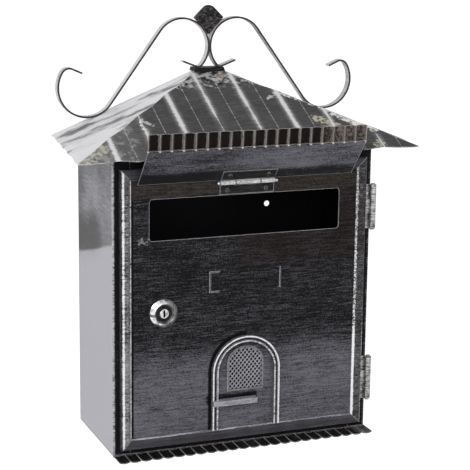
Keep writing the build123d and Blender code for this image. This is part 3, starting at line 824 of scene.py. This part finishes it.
@dataclass
class Case:
    """Box of the mailbox and its fluted front lip."""

    # Outside of the side sheets: brush strokes over a pale painted sheen, which stands in for the white room
    # seen at a grazing angle in glossy black paint.
    brush_and_sheen: DryBrush = DryBrush(
        "case_side", run=Run.DEEP, ground=(0.045, 0.045, 0.048), silver=(0.42, 0.415, 0.455),
        bright=(0.72, 0.72, 0.76), cover=1.15, patchiness=0.6, contrast=1.1, speckle=1.2,
        stroke_length=14.0, stroke_width=1.0, metallic=0.35, roughness=0.50, specular=0.20, bump=0.02 * MM,
    )
    inside: DryBrush = DryBrush(
        "case_inside", ground=(0.009, 0.009, 0.011), cover=-0.05, silver=(0.05, 0.05, 0.056), edge_wear=0.3,
        seed=4.0,
    )
    flutes: int = 24
    lip_length: float = 20.0 * MM
    skin: float = 0.4 * MM
    fold: float = 0.35 * MM
    patch_back: float = 24.0 * MM
    patch_fore: float = 54.0 * MM
    # Painted shade under the eave, as dark strokes by the upper edge of the pale patch: share along it and
    # millimetres above it for both ends, reach, amount and fade.
    shadows: tuple[tuple[float, float, float, float, float, float, float], ...] = (
        (0.0, 62.0, 1.0, 62.0, 58.0, -0.70, 5.0),
        (0.0, 10.0, 0.5, 10.0, 6.0, -0.42, 30.0),
        (0.0, 20.0, 0.0, 80.0, 4.0, -0.22, 26.0),
    )

    def build(self) -> None:
        """Dresses the case."""
        self.dress_side("case_side_left", 2.0)
        self.dress_side("case_side_right", 6.0)
        dress(self.inside, "back_panel")
        # The front header and the bottom rail take the black inside finish with no silver; under the roof
        # this black is painted shade.
        painted_shade_folds = replace(self.inside, name="case_front_folds", cover=0.0, seed=5.0)
        dress(painted_shade_folds, "front_header", "front_bottom_rail")
        low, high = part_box("base_plate")
        lip_span = (Span(Y, low[1] - PAST, low[1] + self.lip_length),)
        half_pitch = (high[0] - low[0]) / (2 * self.flutes)
        ridges = Pleats(
            X, low[0], half_pitch, 0.0, core=0.46, core_reach=1.3 * MM, valley=0.0, limits=lip_span
        )
        corner = Zone((Span(X, high[0] - 14.0 * MM, high[0] + PAST, 5.0 * MM),), 0.34)
        lip = DryBrush(
            "case_floor", run=Run.DEEP, ground=(0.006, 0.005, 0.005), cover=0.06, contrast=1.1,
            bright=(0.52, 0.51, 0.52), edge_wear=0.95, edge_reach=0.9 * MM, marks=(corner, ridges),
            seed=8.0,
        )
        dress(lip, "base_plate")

    def dress_side(self, node: str, seed: float) -> None:
        """Dresses one side sheet: brush strokes over a pale painted sheen with painted shade under the eave
        outside, black inside, dry-brushed on the fold at the front.

        Args:
            node: Name of the sheet's node.
            seed: Picks another part of the patterns.
        """
        low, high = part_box(node)
        left = low[0] < 0.0
        if left:
            outer, inner = low[0], (low[0] + self.skin, high[0] + PAST)
        else:
            outer, inner = high[0], (low[0] - PAST, high[0] - self.skin)
        corner = Span(X, outer - 0.9 * MM, outer + 0.9 * MM)
        foot = Span(Z, low[2] - WELL_PAST, low[2] + 0.3 * (high[2] - low[2]), 60.0 * MM)
        back = Vector((outer, high[1], self.patch_back))
        fore = Vector((outer, low[1], self.patch_fore))
        up = Vector((0.0, 0.0, MM))
        shadows = tuple(
            Smear(
                back.lerp(fore, start) + start_rise * up,
                back.lerp(fore, end) + end_rise * up,
                reach * MM,
                amount,
                fade * MM,
            )
            for start, start_rise, end, end_rise, reach, amount, fade in self.shadows
        )
        # The front fold is black at its top, which is painted shade under the roof, and lighter towards its
        # foot.
        front = DryBrush(
            f"{node}_fold", ground=(0.006, 0.0055, 0.006), cover=-0.16, contrast=1.7, patchiness=0.5,
            stroke_length=6.0, stroke_width=0.7, ragged=1.8, edge_wear=0.6, edge_reach=1.1 * MM,
            marks=(Zone((corner,), 0.66 if left else 0.3, 3.0 * MM),), zones=(Zone((foot,), 0.16),),
            seed=seed,
        )
        outside = replace(self.brush_and_sheen, name=node, zones=shadows, seed=seed + 1.0)
        black = replace(self.inside, name=f"{node}_inside", seed=seed + 2.0)
        face = Zone((Span(Y, low[1] - PAST, low[1] + self.fold),), 1.0, 0.3 * MM)
        back_side = Zone((Span(X, *inner),), 1.0, 0.2 * MM)
        dress(ManyFaced(outside, ((black, back_side), (front, face))), node)


@dataclass
class Roof:
    """Pleated roof sheets and the cap on the ridge."""

    pleats: int = 9
    # Strokes on the front slope: millimetres from the middle and share of the way up for both ends,
    # reach and fade in millimetres, colour.
    strokes: tuple[tuple[float, float, float, float, float, float, Colour], ...] = (
        (-136.0, 0.0, -136.0, 0.16, 1.2, 3.0, WHITE),
        (-97.0, 0.28, -97.0, 0.44, 1.0, 3.0, WHITE),
        (-97.0, 0.44, -88.0, 0.38, 0.8, 3.0, GREY),
        (45.7, 0.63, 57.5, 0.69, 0.8, 3.0, GREY),
        (57.5, 0.69, 76.0, 0.63, 1.2, 3.0, WHITE),
        (88.0, 0.56, 112.0, 0.40, 1.8, 4.0, WHITE),
        (108.0, 0.42, 138.0, 0.23, 5.0, 5.0, WHITE),
        (120.0, 0.37, 134.0, 0.27, 4.0, 5.0, WHITE),
        (86.0, 0.37, 99.0, 0.27, 3.0, 7.0, CREAM),
        (-162.0, 0.03, -146.0, 0.15, 3.0, 6.0, CREAM),
        (130.0, 0.03, 134.0, 0.05, 3.2, 4.0, CREAM),
        (9.0, 0.94, 10.0, 0.93, 1.8, 4.0, (0.22, 0.18, 0.13)),
    )

    def build(self) -> None:
        """Dresses the roof."""
        low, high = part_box("roof_front")
        side_low, side_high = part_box("roof_right")
        half_pitch = (high[0] - low[0]) / (2 * self.pleats)
        side_half_pitch = half_pitch * (high[1] - low[1]) / (side_high[0] - side_low[0])
        self.dress_front(low, high, half_pitch)
        self.dress_sides(low, high, side_half_pitch)
        cap = DryBrush("ridge_cap", ground=(0.008, 0.007, 0.007), cover=0.05, edge_wear=0.35, bump=0.15 * MM)
        dress(cap, "ridge_cap")

    def lay_strokes(self, low: Vector, high: Vector) -> tuple[Stain, ...]:
        """Lays the strokes on the front slope.

        Args:
            low: Its lowest corner.
            high: Its highest corner.

        Returns:
            The strokes, as stains.
        """
        stains = []
        for start, start_share, end, end_share, reach, fade, colour in self.strokes:
            ends = (
                Vector((x * MM, low[1] + share * (high[1] - low[1]), low[2] + share * (high[2] - low[2])))
                for x, share in ((start, start_share), (end, end_share))
            )
            stains.append(Stain(Smear(*ends, reach * MM, 0.68, fade * MM), colour, 4.0))
        return tuple(stains)

    def dress_front(self, low: Vector, high: Vector, half_pitch: float) -> None:
        """Dresses the front slope.

        Args:
            low: Its lowest corner.
            high: Its highest corner.
            half_pitch: From a crest to the next valley.
        """
        crown_foot = high[2] - 0.10 * (high[2] - low[2])
        crown = Zone((Span(Z, crown_foot, high[2] + WELL_PAST),), 0.52, 10.0 * MM)
        eave = Zone((Span(Z, low[2] - PAST, low[2] + 0.5 * MM),), 0.55, 0.8 * MM)
        pale = Zone((Span(X, low[0] - PAST, low[0] + 30.0 * MM, 50.0 * MM),), 0.40)
        bright_end = Zone((Span(X, low[0], low[0] + 50.0 * MM),), 0.35, 40.0 * MM)
        skirts = Pleats(X, low[0], half_pitch, skirt=1.0, skirt_reach=7.5 * MM, core=0.0, valley=0.0)
        front = DryBrush(
            "roof_front", ground=(0.040, 0.040, 0.041), silver=(0.150, 0.149, 0.150),
            bright=(0.62, 0.61, 0.61), cover=0.24, contrast=1.5, patchiness=0.35, stroke_length=11.0,
            stroke_width=0.8, zones=(bright_end, skirts), marks=(Pleats(X, low[0], half_pitch), eave),
            ragged=1.5,
            stains=(
                Stain(pale, (0.24, 0.24, 0.23), 9.0),
                Stain(crown, (0.006, 0.006, 0.006), 9.0),
                Stain(crown, (0.36, 0.36, 0.35), 6.0),
                *self.lay_strokes(low, high),
            ),
            roughness=0.48, seed=11.0,
        )
        dress(front, "roof_front")

    def dress_sides(self, low: Vector, high: Vector, half_pitch: float) -> None:
        """Dresses the two side slopes.

        Args:
            low: Lowest corner of the front slope.
            high: Its highest corner.
            half_pitch: From a crest to the next valley along the side eave.
        """
        smears = Zone((Span(Y, low[1] + 60.0 * MM, high[1] - 14.0 * MM, 25.0 * MM),), -0.55)
        left = DryBrush(
            "roof_left", run=Run.UPHILL, ground=(0.11, 0.11, 0.115), silver=(0.66, 0.655, 0.68),
            bright=(0.84, 0.84, 0.85), cover=1.45, contrast=1.3, patchiness=5.2, patch=(46.0, 15.0, 30.0),
            speckle=0.5, stroke_length=26.0, stroke_width=1.4, zones=(smears,),
            marks=(Pleats(Y, low[1], half_pitch, 0.2, 2.5 * MM, 0.45, 0.8 * MM, 0.35),),
            roughness=0.38, specular=0.3, seed=13.0,
        )
        dress(left, "roof_left")
        right = replace(left, name="roof_right", cover=0.55, silver=(0.30, 0.30, 0.31), seed=15.0)
        dress(right, "roof_right")


@dataclass
class Cresting:
    """Scrolls and the finial between them."""

    side: DryBrush = DryBrush(
        "scroll_bar", run=Run.DEEP, ground=(0.10, 0.10, 0.10), silver=(0.62, 0.62, 0.64), cover=0.80,
        contrast=1.2, patchiness=1.6, stroke_length=6.0, stroke_width=1.6, edge_wear=0.0, seed=17.0,
    )
    front: DryBrush = DryBrush(
        "scroll_front", ground=(0.02, 0.02, 0.02), cover=0.25, edge_wear=0.15, seed=18.0
    )

    def build(self) -> None:
        """Dresses the scrolls and the finial."""
        low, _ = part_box("scroll_left")
        face = Zone((Span(Y, low[1] - PAST, low[1] + 0.45 * MM),), 1.0, 0.3 * MM)
        dress(ManyFaced(self.side, ((self.front, face),)), "scroll_left", "scroll_right")
        lozenge = DryBrush(
            "finial", run=Run.ACROSS, ground=(0.010, 0.009, 0.009), silver=(0.16, 0.145, 0.150), cover=0.24,
            contrast=3.2, patchiness=0.8, speckle=1.0, stroke_length=4.0, stroke_width=1.5, edge_wear=0.3,
            bump=0.25 * MM, seed=19.0,
        )
        dress(lozenge, "finial_lozenge")


@dataclass(frozen=True)
class UprightBar:
    """How one upright bar of the door's border is brushed; its bright line is millimetres from its left."""

    node: str
    line: float
    amount: float
    inner: float
    seed: float
    faint: bool = False


@dataclass
class Door:
    """Door sheet with its border, arch, window and ledge."""

    arch_face: float = 6.0 * MM
    slot_drop: float = 30.0 * MM
    slot_height: float = 40.5 * MM
    plate_drop: float = 45.0 * MM
    plate_half_height: float = 14.0 * MM
    bar_line_half: float = 0.5
    uprights: tuple[UprightBar, ...] = (
        UprightBar("door_moulding_left", 2.2, 0.85, 0.62, 24.0),
        UprightBar("door_moulding_right", 1.0, 0.52, 0.50, 25.0, faint=True),
    )

    def build(self) -> None:
        """Dresses the door."""
        low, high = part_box("door_panel")
        arch_low, arch_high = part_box("arch_moulding")
        radius = (arch_high[0] - arch_low[0]) / 2
        centre = Vector((arch_low[0] + radius, arch_low[1], arch_high[2] - radius))
        self.dress_panel(low, high, centre, radius)
        self.dress_mesh()
        self.dress_border(low[2])
        self.dress_arch(centre, radius)

    def dress_panel(self, low: Vector, high: Vector, centre: Vector, radius: float) -> None:
        """Dresses the door sheet.

        Args:
            low: Its lowest corner.
            high: Its highest corner.
            centre: Centre of the arch's round top.
            radius: Outer radius of the arch.
        """
        tall = high[2] - low[2]
        slot_top = high[2] - self.slot_drop
        slot_foot = high[2] - (self.slot_drop + self.slot_height)
        plate = slot_foot - self.plate_drop
        ledge_low, ledge_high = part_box("arch_ledge")
        lower = Zone((Span(Z, low[2] - WELL_PAST, low[2] + 0.24 * tall, 50.0 * MM),), 0.46)
        left_half = (Span(X, low[0], centre.x),)
        halo = Hoop(Y, centre, radius + 1.2 * MM, 1.2 * MM, -0.7, 2.0 * MM, True, left_half)
        above_ledge = (
            Span(X, ledge_low[0] - 3.0 * MM, ledge_high[0]),
            Span(Z, ledge_high[2] - 2.0 * MM, ledge_high[2] + 3.0 * MM),
        )
        rust_spans = (Span(X, 0.0, high[0] - 14.0 * MM), Span(Z, slot_foot - 22.0 * MM, high[2]))
        rust = Zone(rust_spans, 0.45, 25.0 * MM)
        brown = Zone((Span(Z, slot_top + 3.0 * MM, high[2] + WELL_PAST),), 0.52, 7.0 * MM)
        plate_spans = (
            Span(X, -25.0 * MM, 33.0 * MM),
            Span(Z, plate - self.plate_half_height, plate + self.plate_half_height),
        )
        middle = Zone(plate_spans, 0.75, 4.0 * MM)
        corner = Vector((-108.0 * MM, low[1], slot_foot + 0.5 * MM))
        scrape = Smear(corner, corner + Vector((7.0 * MM, 0.0, -0.5 * MM)), 1.0 * MM, 0.55, 4.0 * MM)
        # Painted shadow on the sheet beside the inner edge of the left bar of the border.
        gap = Zone((Span(X, low[0], low[0] + 12.2 * MM, 1.2 * MM),), -0.9)
        panel = DryBrush(
            "door_sheet", cover=0.12, contrast=2.2, patchiness=0.40, speckle=1.3, stroke_length=17.0,
            stroke_width=0.55, zones=(lower, halo, Zone(above_ledge, -0.6, 4.0 * MM), gap),
            stains=(
                Stain(rust, (0.022, 0.013, 0.010)),
                Stain(brown, (0.050, 0.043, 0.036)),
                Stain(scrape, (0.19, 0.185, 0.185), 3.0),
            ),
            hushes=(middle,), edge_wear=1.0, edge_reach=1.1 * MM, seed=21.0,
        )
        dress(panel, "door_panel")

    def dress_mesh(self) -> None:
        """Dresses the mesh in the window."""
        mesh = DryBrush(
            "window_mesh", ground=(0.10, 0.10, 0.105), silver=(0.38, 0.38, 0.41), cover=0.58, contrast=1.4,
            patchiness=0.6, edge_wear=0.5, edge_reach=0.25 * MM, stroke_length=6.0, seed=22.0,
        )
        dress(mesh, "window_mesh")

    def dress_border(self, foot: float) -> None:
        """Dresses the four bars round the door.

        Args:
            foot: Height of the door's lower edge.
        """
        lower = Zone((Span(Z, foot - WELL_PAST, foot + 70.0 * MM, 60.0 * MM),), 0.14)
        upright = DryBrush(
            "door_border", ground=(0.020, 0.018, 0.019), silver=(0.30, 0.29, 0.305),
            bright=(0.74, 0.74, 0.76), cover=0.44, contrast=2.4, patchiness=0.9, speckle=1.2,
            stroke_length=5.0, stroke_width=1.0, ragged=2.8, edge_wear=0.4, edge_reach=0.9 * MM,
            zones=(lower,), seed=24.0,
        )
        for bar in self.uprights:
            self.dress_upright(bar, upright, foot)
        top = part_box("door_moulding_bottom")[1][2]
        top_edge = Zone((Span(Z, top - 1.0 * MM, top + PAST, 0.4 * MM),), 0.44)
        flat = replace(
            upright, name="door_moulding_bottom", ground=(0.030, 0.028, 0.032), silver=(0.105, 0.10, 0.12),
            cover=0.35, contrast=0.9, speckle=0.4, stroke_length=26.0, zones=(), edge_wear=0.8, ragged=1.1,
            marks=(top_edge,), seed=26.0,
        )
        dress(flat, "door_moulding_bottom")
        dress(replace(flat, name="door_moulding_top", marks=(), seed=27.0), "door_moulding_top")

    def dress_upright(self, bar: UprightBar, paint: DryBrush, foot: float) -> None:
        """Dresses one upright bar, with a bright line, a brighter foot and a thin inner edge.

        Args:
            bar: The bar.
            paint: The border's paint.
            foot: Height of the door's lower edge.
        """
        near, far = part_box(bar.node)
        line = Span(
            X,
            near[0] + (bar.line - self.bar_line_half) * MM,
            near[0] + (bar.line + self.bar_line_half) * MM,
            1.3 * MM,
        )
        low_line = Zone((line, Span(Z, foot, foot + 85.0 * MM, 50.0 * MM)), 0.95)
        inner_spans = (Span(X, far[0] - 1.0 * MM, far[0] + PAST, 0.4 * MM),)
        if bar.faint:
            paint = replace(paint, cover=0.20, silver=(0.20, 0.195, 0.205), ragged=2.0)
            inner_spans += (Span(Z, foot, foot + 95.0 * MM, 40.0 * MM),)
        marks = (Zone((line,), bar.amount), low_line, Zone(inner_spans, bar.inner))
        rim = Zone((Span(X, near[0] - PAST, near[0] + (bar.line - 1.6) * MM, 0.8 * MM),), -0.4)
        dress(replace(paint, name=bar.node, marks=marks, zones=(*paint.zones, rim), seed=bar.seed), bar.node)

    def dress_arch(self, centre: Vector, radius: float) -> None:
        """Dresses the arch and its ledge.

        Args:
            centre: Centre of the arch's round top.
            radius: Its outer radius.
        """
        groove = Hoop(Y, centre, radius - self.arch_face / 2, 1.0 * MM, -0.25, legs=True)
        rim = Hoop(Y, centre, radius - 1.0 * MM, 0.4 * MM, 0.82, 0.9 * MM, True)
        inner_rim = Hoop(Y, centre, radius - self.arch_face + 0.7 * MM, 0.3 * MM, 0.62, 0.6 * MM, True)
        arch = DryBrush(
            "arch", ground=(0.020, 0.019, 0.021), silver=(0.20, 0.195, 0.22), bright=(0.74, 0.74, 0.77),
            cover=0.38, contrast=1.2, patchiness=0.8, speckle=1.2, stroke_length=5.0, zones=(groove,),
            marks=(rim, inner_rim), ragged=2.0, edge_wear=0.7, edge_reach=0.7 * MM, seed=28.0,
        )
        dress(arch, "arch_moulding")
        ledge = replace(
            arch, name="ledge", silver=(0.36, 0.36, 0.39), cover=0.70, zones=(), marks=(), edge_wear=0.9,
            edge_reach=1.0 * MM, seed=29.0,
        )
        dress(ledge, "arch_ledge")


@dataclass
class DoorHinges:
    """The two butt hinges of the door."""

    steel: Steel = Steel(
        "door_hinge_steel", (0.46, 0.455, 0.45), (0.05, 0.048, 0.046), (7.0, 7.0, 0.9), 0.36, seed=31.0
    )

    def build(self) -> None:
        """Dresses the hinges and makes the domed rivets of their case leaves."""
        for hinge in ("hinge_upper", "hinge_lower"):
            dress(self.steel, f"{hinge}_case_leaf", f"{hinge}_door_leaf", f"{hinge}_pin")
        steel = replace(self.steel, name="case_rivet_steel", seed=33.0)
        RivetPair("hinge_case_rivets", "case", Z).build(steel)


@dataclass
class Flap:
    """Letter flap with its hinge."""

    lip_height: float = 17.0 * MM
    flutes: int = 19
    middle_knuckle: float = 0.46
    gap: float = 0.9 * MM
    rod: float = 1.1 * MM
    ball_steps: int = 12

    def build(self) -> None:
        """Dresses the flap and makes its pin and the rivets of its door leaf."""
        low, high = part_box("flap_plate")
        bend = high[2] - self.lip_height
        near_hinge = Zone((Span(Z, low[2] - 0.02, low[2] + 7.0 * MM),), -0.7, 6.0 * MM)
        right = Zone((Span(X, 0.0, high[0] + WELL_PAST),), 0.22, 60.0 * MM)
        plate = DryBrush(
            "flap", ground=(0.012, 0.012, 0.014), silver=(0.185, 0.184, 0.215), bright=(0.62, 0.62, 0.66),
            cover=0.38, contrast=2.2, patchiness=1.3, patch=(60.0, 16.0, 14.0), speckle=2.8,
            stroke_length=12.0, stroke_width=0.9, zones=(near_hinge, right), edge_wear=1.0,
            edge_reach=1.0 * MM, seed=35.0,
        )
        right_lip = Zone((Span(X, high[0] - 38.0 * MM, high[0] + WELL_PAST),), 0.50, 14.0 * MM)
        half_pitch = (high[0] - low[0]) / (2 * self.flutes)
        ridges = Pleats(X, low[0], half_pitch, 0.0, core=0.66, core_reach=2.9 * MM, valley=0.0)
        feet = replace(ridges, core=0.9, core_reach=1.3 * MM, limits=(Span(Z, bend, bend + 1.0 * MM),))
        right_end = Zone((Span(X, high[0] - 36.0 * MM, high[0] + WELL_PAST),), 0.45, 10.0 * MM)
        lip = DryBrush(
            "flap_lip", run=Run.UPRIGHT, ground=(0.006, 0.004, 0.0035), silver=(0.075, 0.062, 0.055),
            bright=(0.60, 0.58, 0.58), cover=-0.05, contrast=1.4, patchiness=0.5, speckle=0.9,
            stroke_length=6.0, stroke_width=0.9, zones=(right_lip,), marks=(feet,),
            stains=(
                Stain(ridges, (0.17, 0.150, 0.140)),
                Stain(right_end, (0.13, 0.11, 0.095), 3.0),
            ),
            edge_wear=0.85, edge_reach=0.8 * MM, seed=36.0,
        )
        fold = Zone((Span(Z, bend, high[2] + WELL_PAST),), 1.0, 0.4 * MM)
        dress(ManyFaced(plate, ((lip, fold),)), "flap_plate")
        self.dress_hinge()

    def dress_hinge(self) -> None:
        """Dresses the hinge leaves, the pin and the rivets."""
        low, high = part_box("flap_hinge_pin")
        centre = (Vector(low) + Vector(high)) / 2
        leaf_low, leaf_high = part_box("flap_hinge_door_leaf")
        joint = self.middle_knuckle * (leaf_high[0] - leaf_low[0]) / 2
        # Painted highlight on the upper part of each knuckle of the hinge, broken at the joints.
        lit = Span(Z, centre.z - 1.5 * MM, high[2] + 1.0 * MM, 0.4 * MM)
        stops = (low[0], centre.x - joint, centre.x + joint, high[0])
        barrels = (Span(X, start + self.gap, end - self.gap) for start, end in zip(stops, stops[1:]))
        knuckle_highlights = tuple(
            Hoop(X, centre, 0.0, 2.7 * MM, 0.62, 0.4 * MM, limits=(barrel, lit)) for barrel in barrels
        )
        leaf = DryBrush(
            "flap_hinge_leaf", ground=(0.010, 0.0095, 0.010), silver=(0.12, 0.12, 0.126),
            bright=(0.70, 0.70, 0.71), cover=0.15, contrast=1.2, marks=knuckle_highlights, edge_wear=0.95,
            edge_reach=0.9 * MM, stroke_length=6.0, seed=38.0,
        )
        dress(leaf, "flap_hinge_door_leaf", "flap_hinge_flap_leaf", "flap_hinge_flap_rivets")
        RivetPair("flap_hinge_door_rivets", "door", X).build(replace(leaf, name="flap_rivet", cover=0.5))
        self.make_pin()

    def make_pin(self) -> None:
        """Makes the pin with its two round ends."""
        low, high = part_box("flap_hinge_pin")
        ball = (high[2] - low[2]) / 2
        half = (high[0] - low[0]) / 2
        angles = self.ball_angles(self.rod / ball)
        round_end = [(ball * math.cos(angle), ball * math.sin(angle)) for angle in angles]
        outline = [(radius, half - ball + height) for radius, height in round_end]
        outline += [(radius, -(half - ball + height)) for radius, height in reversed(round_end)]
        centre = (Vector(low) + Vector(high)) / 2
        forge = Forge("flap_hinge_pin_balls")
        forge.turn(Matrix.Translation(centre) @ Matrix.Rotation(math.radians(90.0), 4, "Y"), outline, 24)
        steel = Steel(
            "flap_pin_steel", (0.62, 0.62, 0.64), (0.22, 0.22, 0.23), (3.0, 0.6, 0.6), 0.25, seed=39.0
        )
        forge.finish("door", "hinge_steel", steel, "flap_hinge_pin")

    def ball_angles(self, neck_share: float) -> list[float]:
        """Angles of the outline of a round end, from its pole to the neck where the rod leaves it.

        Args:
            neck_share: Radius of the rod against that of the ball.

        Returns:
            The angles in radians.
        """
        last = -math.acos(neck_share)
        turn = last - math.pi / 2
        return [math.pi / 2 + turn * step / self.ball_steps for step in range(self.ball_steps + 1)]


@dataclass
class Lock:
    """Cam lock of the door."""

    rim: float = 14.1 * MM
    barrel: float = 9.1 * MM
    bore: float = 4.58 * MM
    face: float = 5.0 * MM
    step: float = 1.3 * MM
    crest: float = 10.4 * MM
    dish: float = 8.2 * MM
    floor: float = 1.6 * MM

    def build(self) -> None:
        """Makes the turned bezel and dresses the rest of the lock."""
        low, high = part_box("lock_body")
        centre = (Vector(low) + Vector(high)) / 2
        centre.y = low[1] + self.face
        # Painted shade and reflections on the chrome bezel: its deep dish painted near black, a dark ring
        # inside the crest, the right side darkened and a dark patch of reflection at the left.
        right = Span(X, centre.x + 5.0 * MM, centre.x + WELL_PAST, 9.0 * MM)
        painted_reflection = (
            Span(X, centre.x - self.rim - 1.0 * MM, centre.x - self.dish),
            Span(Z, centre.z - 2.2 * MM, centre.z - 0.2 * MM),
        )
        shade = Hoop(Y, centre, self.rim - 1.2 * MM, 6.0 * MM, 0.72, 0.5 * MM, False, (right,))
        parts = (
            Hoop(Y, centre, 0.0, self.dish + 0.1 * MM, 0.97, 0.25 * MM),
            Hoop(Y, centre, self.crest - 1.2 * MM, 0.35 * MM, 0.75, 0.3 * MM),
            shade,
            Zone(painted_reflection, 0.8, 0.9 * MM),
        )
        chrome = Steel(
            "lock_chrome", (0.90, 0.90, 0.92), (0.20, 0.19, 0.19), (8.0, 8.0, 8.0), 0.08, 0.003 * MM, 47.0
        )
        forge = Forge("lock_bezel_turned")
        place = Matrix.Translation(centre) @ Matrix.Rotation(math.radians(90.0), 4, "X")
        forge.turn(place, self.outline(high[1] - centre.y), 48)
        forge.finish("door", "lock_chrome", Shaded(chrome, parts), "lock_body")
        # Painted shade: the mouth of the keyway in the plug is painted black.
        keyway = (
            Span(X, centre.x - 0.9 * MM, centre.x + 0.9 * MM),
            Span(Z, centre.z - 3.5 * MM, centre.z + 3.5 * MM),
        )
        plug = Steel("lock_face", (0.88, 0.88, 0.87), (0.30, 0.29, 0.28), (3.0, 3.0, 3.0), 0.18, seed=41.0)
        dress(Shaded(plug, (Zone(keyway, 1.0, 0.25 * MM),)), "lock_plug")
        zinc = Steel("zinc", (0.60, 0.60, 0.58), (0.34, 0.34, 0.33), (3.0, 3.0, 3.0), 0.36, seed=43.0)
        dress(zinc, "lock_nut", "lock_cam", "lock_cam_screw")

    def outline(self, depth: float) -> list[tuple[float, float]]:
        """Outline of the bezel and the barrel behind it, all round the metal.

        Args:
            depth: How far the barrel goes back from the door face.

        Returns:
            Radius and height of each point.
        """
        cone = [(self.rim, 0.0), (self.rim, self.step), (self.rim - 0.4 * MM, self.step + 0.5 * MM)]
        crown = [(self.crest + 0.5 * MM, self.face - 0.2 * MM), (self.crest, self.face)]
        slope = [(self.crest - 0.4 * MM, self.face - 0.2 * MM), (self.crest - 1.1 * MM, self.face - 1.4 * MM)]
        shelf = [(self.crest - 1.5 * MM, self.face - 1.4 * MM), (self.dish, self.floor)]
        bore = [(self.bore, self.floor), (self.bore, -depth), (self.barrel, -depth), (self.barrel, 0.0)]
        return [*cone, *crown, *slope, *shelf, *bore, cone[0]]


def seen_white(tree: bpy.types.NodeTree) -> Socket:
    """Which rays meet the white room itself and not the light that it gives.

    Args:
        tree: Node tree to add the nodes to.

    Returns:
        1 for what the camera sees directly, in metal or through glass, and 0 otherwise.
    """
    path = tree.nodes.new("ShaderNodeLightPath")
    seen: Socket = path.outputs["Is Camera Ray"]
    for ray in ("Is Glossy Ray", "Is Transmission Ray"):
        either = tree.nodes.new("ShaderNodeMath")
        either.operation = "MAXIMUM"
        tree.links.new(seen, either.inputs[0])
        tree.links.new(path.outputs[ray], either.inputs[1])
        seen = either.outputs["Value"]
    return seen


@dataclass
class Studio:
    """Camera, light, floor and background."""

    camera_place: tuple[float, float, float] = (-0.5463, -1.4755, 0.3802)
    yaw: float = 21.58
    pitch: float = 12.15
    roll: float = 0.69
    lens: float = 117.7
    sensor: float = 36.0
    shift: tuple[float, float] = (-0.00328, -0.02128)
    # Name, place, side and watts of each square lamp.
    lamps: tuple[tuple[str, tuple[float, float, float], float, float], ...] = (
        ("key", (-1.7, -1.0, 1.35), 1.0, 26.0),
        ("front", (-0.9, -2.2, 0.9), 1.6, 22.0),
        ("fill", (1.7, -1.7, 0.7), 1.8, 14.0),
    )
    floor_drop: float = 1.1
    floor_size: float = 60.0
    floor_glow: float = 0.75
    room_light: float = 0.40

    def build(self, low: Vector) -> None:
        """Sets up the studio round the object.

        Args:
            low: Lowest corner of the object.
        """
        self.add_camera()
        for lamp in self.lamps:
            self.add_lamp(*lamp)
        self.add_floor(low.z - self.floor_drop)
        self.add_world()
        bpy.context.scene.view_settings.view_transform = "Standard"

    def add_camera(self) -> None:
        """Adds the camera."""
        data = bpy.data.cameras.new("camera")
        data.lens = self.lens
        data.sensor_width = self.sensor
        data.shift_x, data.shift_y = self.shift
        data.clip_start = 0.05
        camera = add_object("camera", data)
        turn = (
            Matrix.Rotation(math.radians(-self.yaw), 4, "Z")
            @ Matrix.Rotation(math.radians(90.0 - self.pitch), 4, "X")
            @ Matrix.Rotation(math.radians(self.roll), 4, "Z")
        )
        camera.matrix_world = Matrix.Translation(self.camera_place) @ turn
        bpy.context.scene.camera = camera

    def add_lamp(self, name: str, place: tuple[float, float, float], size: float, power: float) -> None:
        """Adds one square lamp that faces the object.

        Args:
            name: Name of the lamp.
            place: Where it hangs.
            size: Length of a side.
            power: Power in watts.
        """
        data = bpy.data.lights.new(name, "AREA")
        data.shape = "SQUARE"
        data.size = size
        data.energy = power
        lamp = add_object(name, data)
        spot = Vector(place)
        lamp.matrix_world = Matrix.Translation(spot) @ (-spot).to_track_quat("-Z", "Y").to_matrix().to_4x4()

    def add_floor(self, height: float) -> None:
        """Adds the plain pale floor.

        Args:
            height: Height of the floor.
        """
        grid = bmesh.new()
        bmesh.ops.create_grid(grid, x_segments=1, y_segments=1, size=self.floor_size)
        bmesh.ops.translate(grid, verts=grid.verts, vec=(0.0, 0.0, height))
        mesh = bpy.data.meshes.new("floor")
        grid.to_mesh(mesh)
        grid.free()
        floor = add_object("floor", mesh)
        bench = Bench("pale_floor")
        bench.coat("Base Color", (0.80, 0.80, 0.80, 1.0))
        bench.coat("Roughness", 0.9)
        bench.coat("Emission Color", (1.0, 1.0, 1.0, 1.0))
        bench.coat("Emission Strength", bench.maths("MULTIPLY", seen_white(bench.tree), self.floor_glow))
        floor.data.materials.append(bench.material)
        floor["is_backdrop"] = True

    def add_world(self) -> None:
        """Adds the even light of the room, white where it is seen directly or in metal."""
        world = bpy.data.worlds.new("room")
        world.use_nodes = True
        bpy.context.scene.world = world
        nodes, links = world.node_tree.nodes, world.node_tree.links
        background = nodes["Background"]
        strength = nodes.new("ShaderNodeMapRange")
        links.new(seen_white(world.node_tree), strength.inputs["Value"])
        strength.inputs["To Min"].default_value = self.room_light
        strength.inputs["To Max"].default_value = 1.0
        links.new(strength.outputs["Result"], background.inputs["Strength"])
        background.inputs["Color"].default_value = (1.0, 1.0, 1.0, 1.0)


def main() -> None:
    """Loads the frame, dresses every piece and sets up the studio."""
    logging.basicConfig(level=logging.INFO, format="%(name)s: %(message)s")
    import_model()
    packed_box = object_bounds()
    Case().build()
    Roof().build()
    Cresting().build()
    Door().build()
    DoorHinges().build()
    Flap().build()
    Lock().build()
    Studio().build(packed_box[0])
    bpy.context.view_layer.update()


if __name__ == "__main__":
    main()
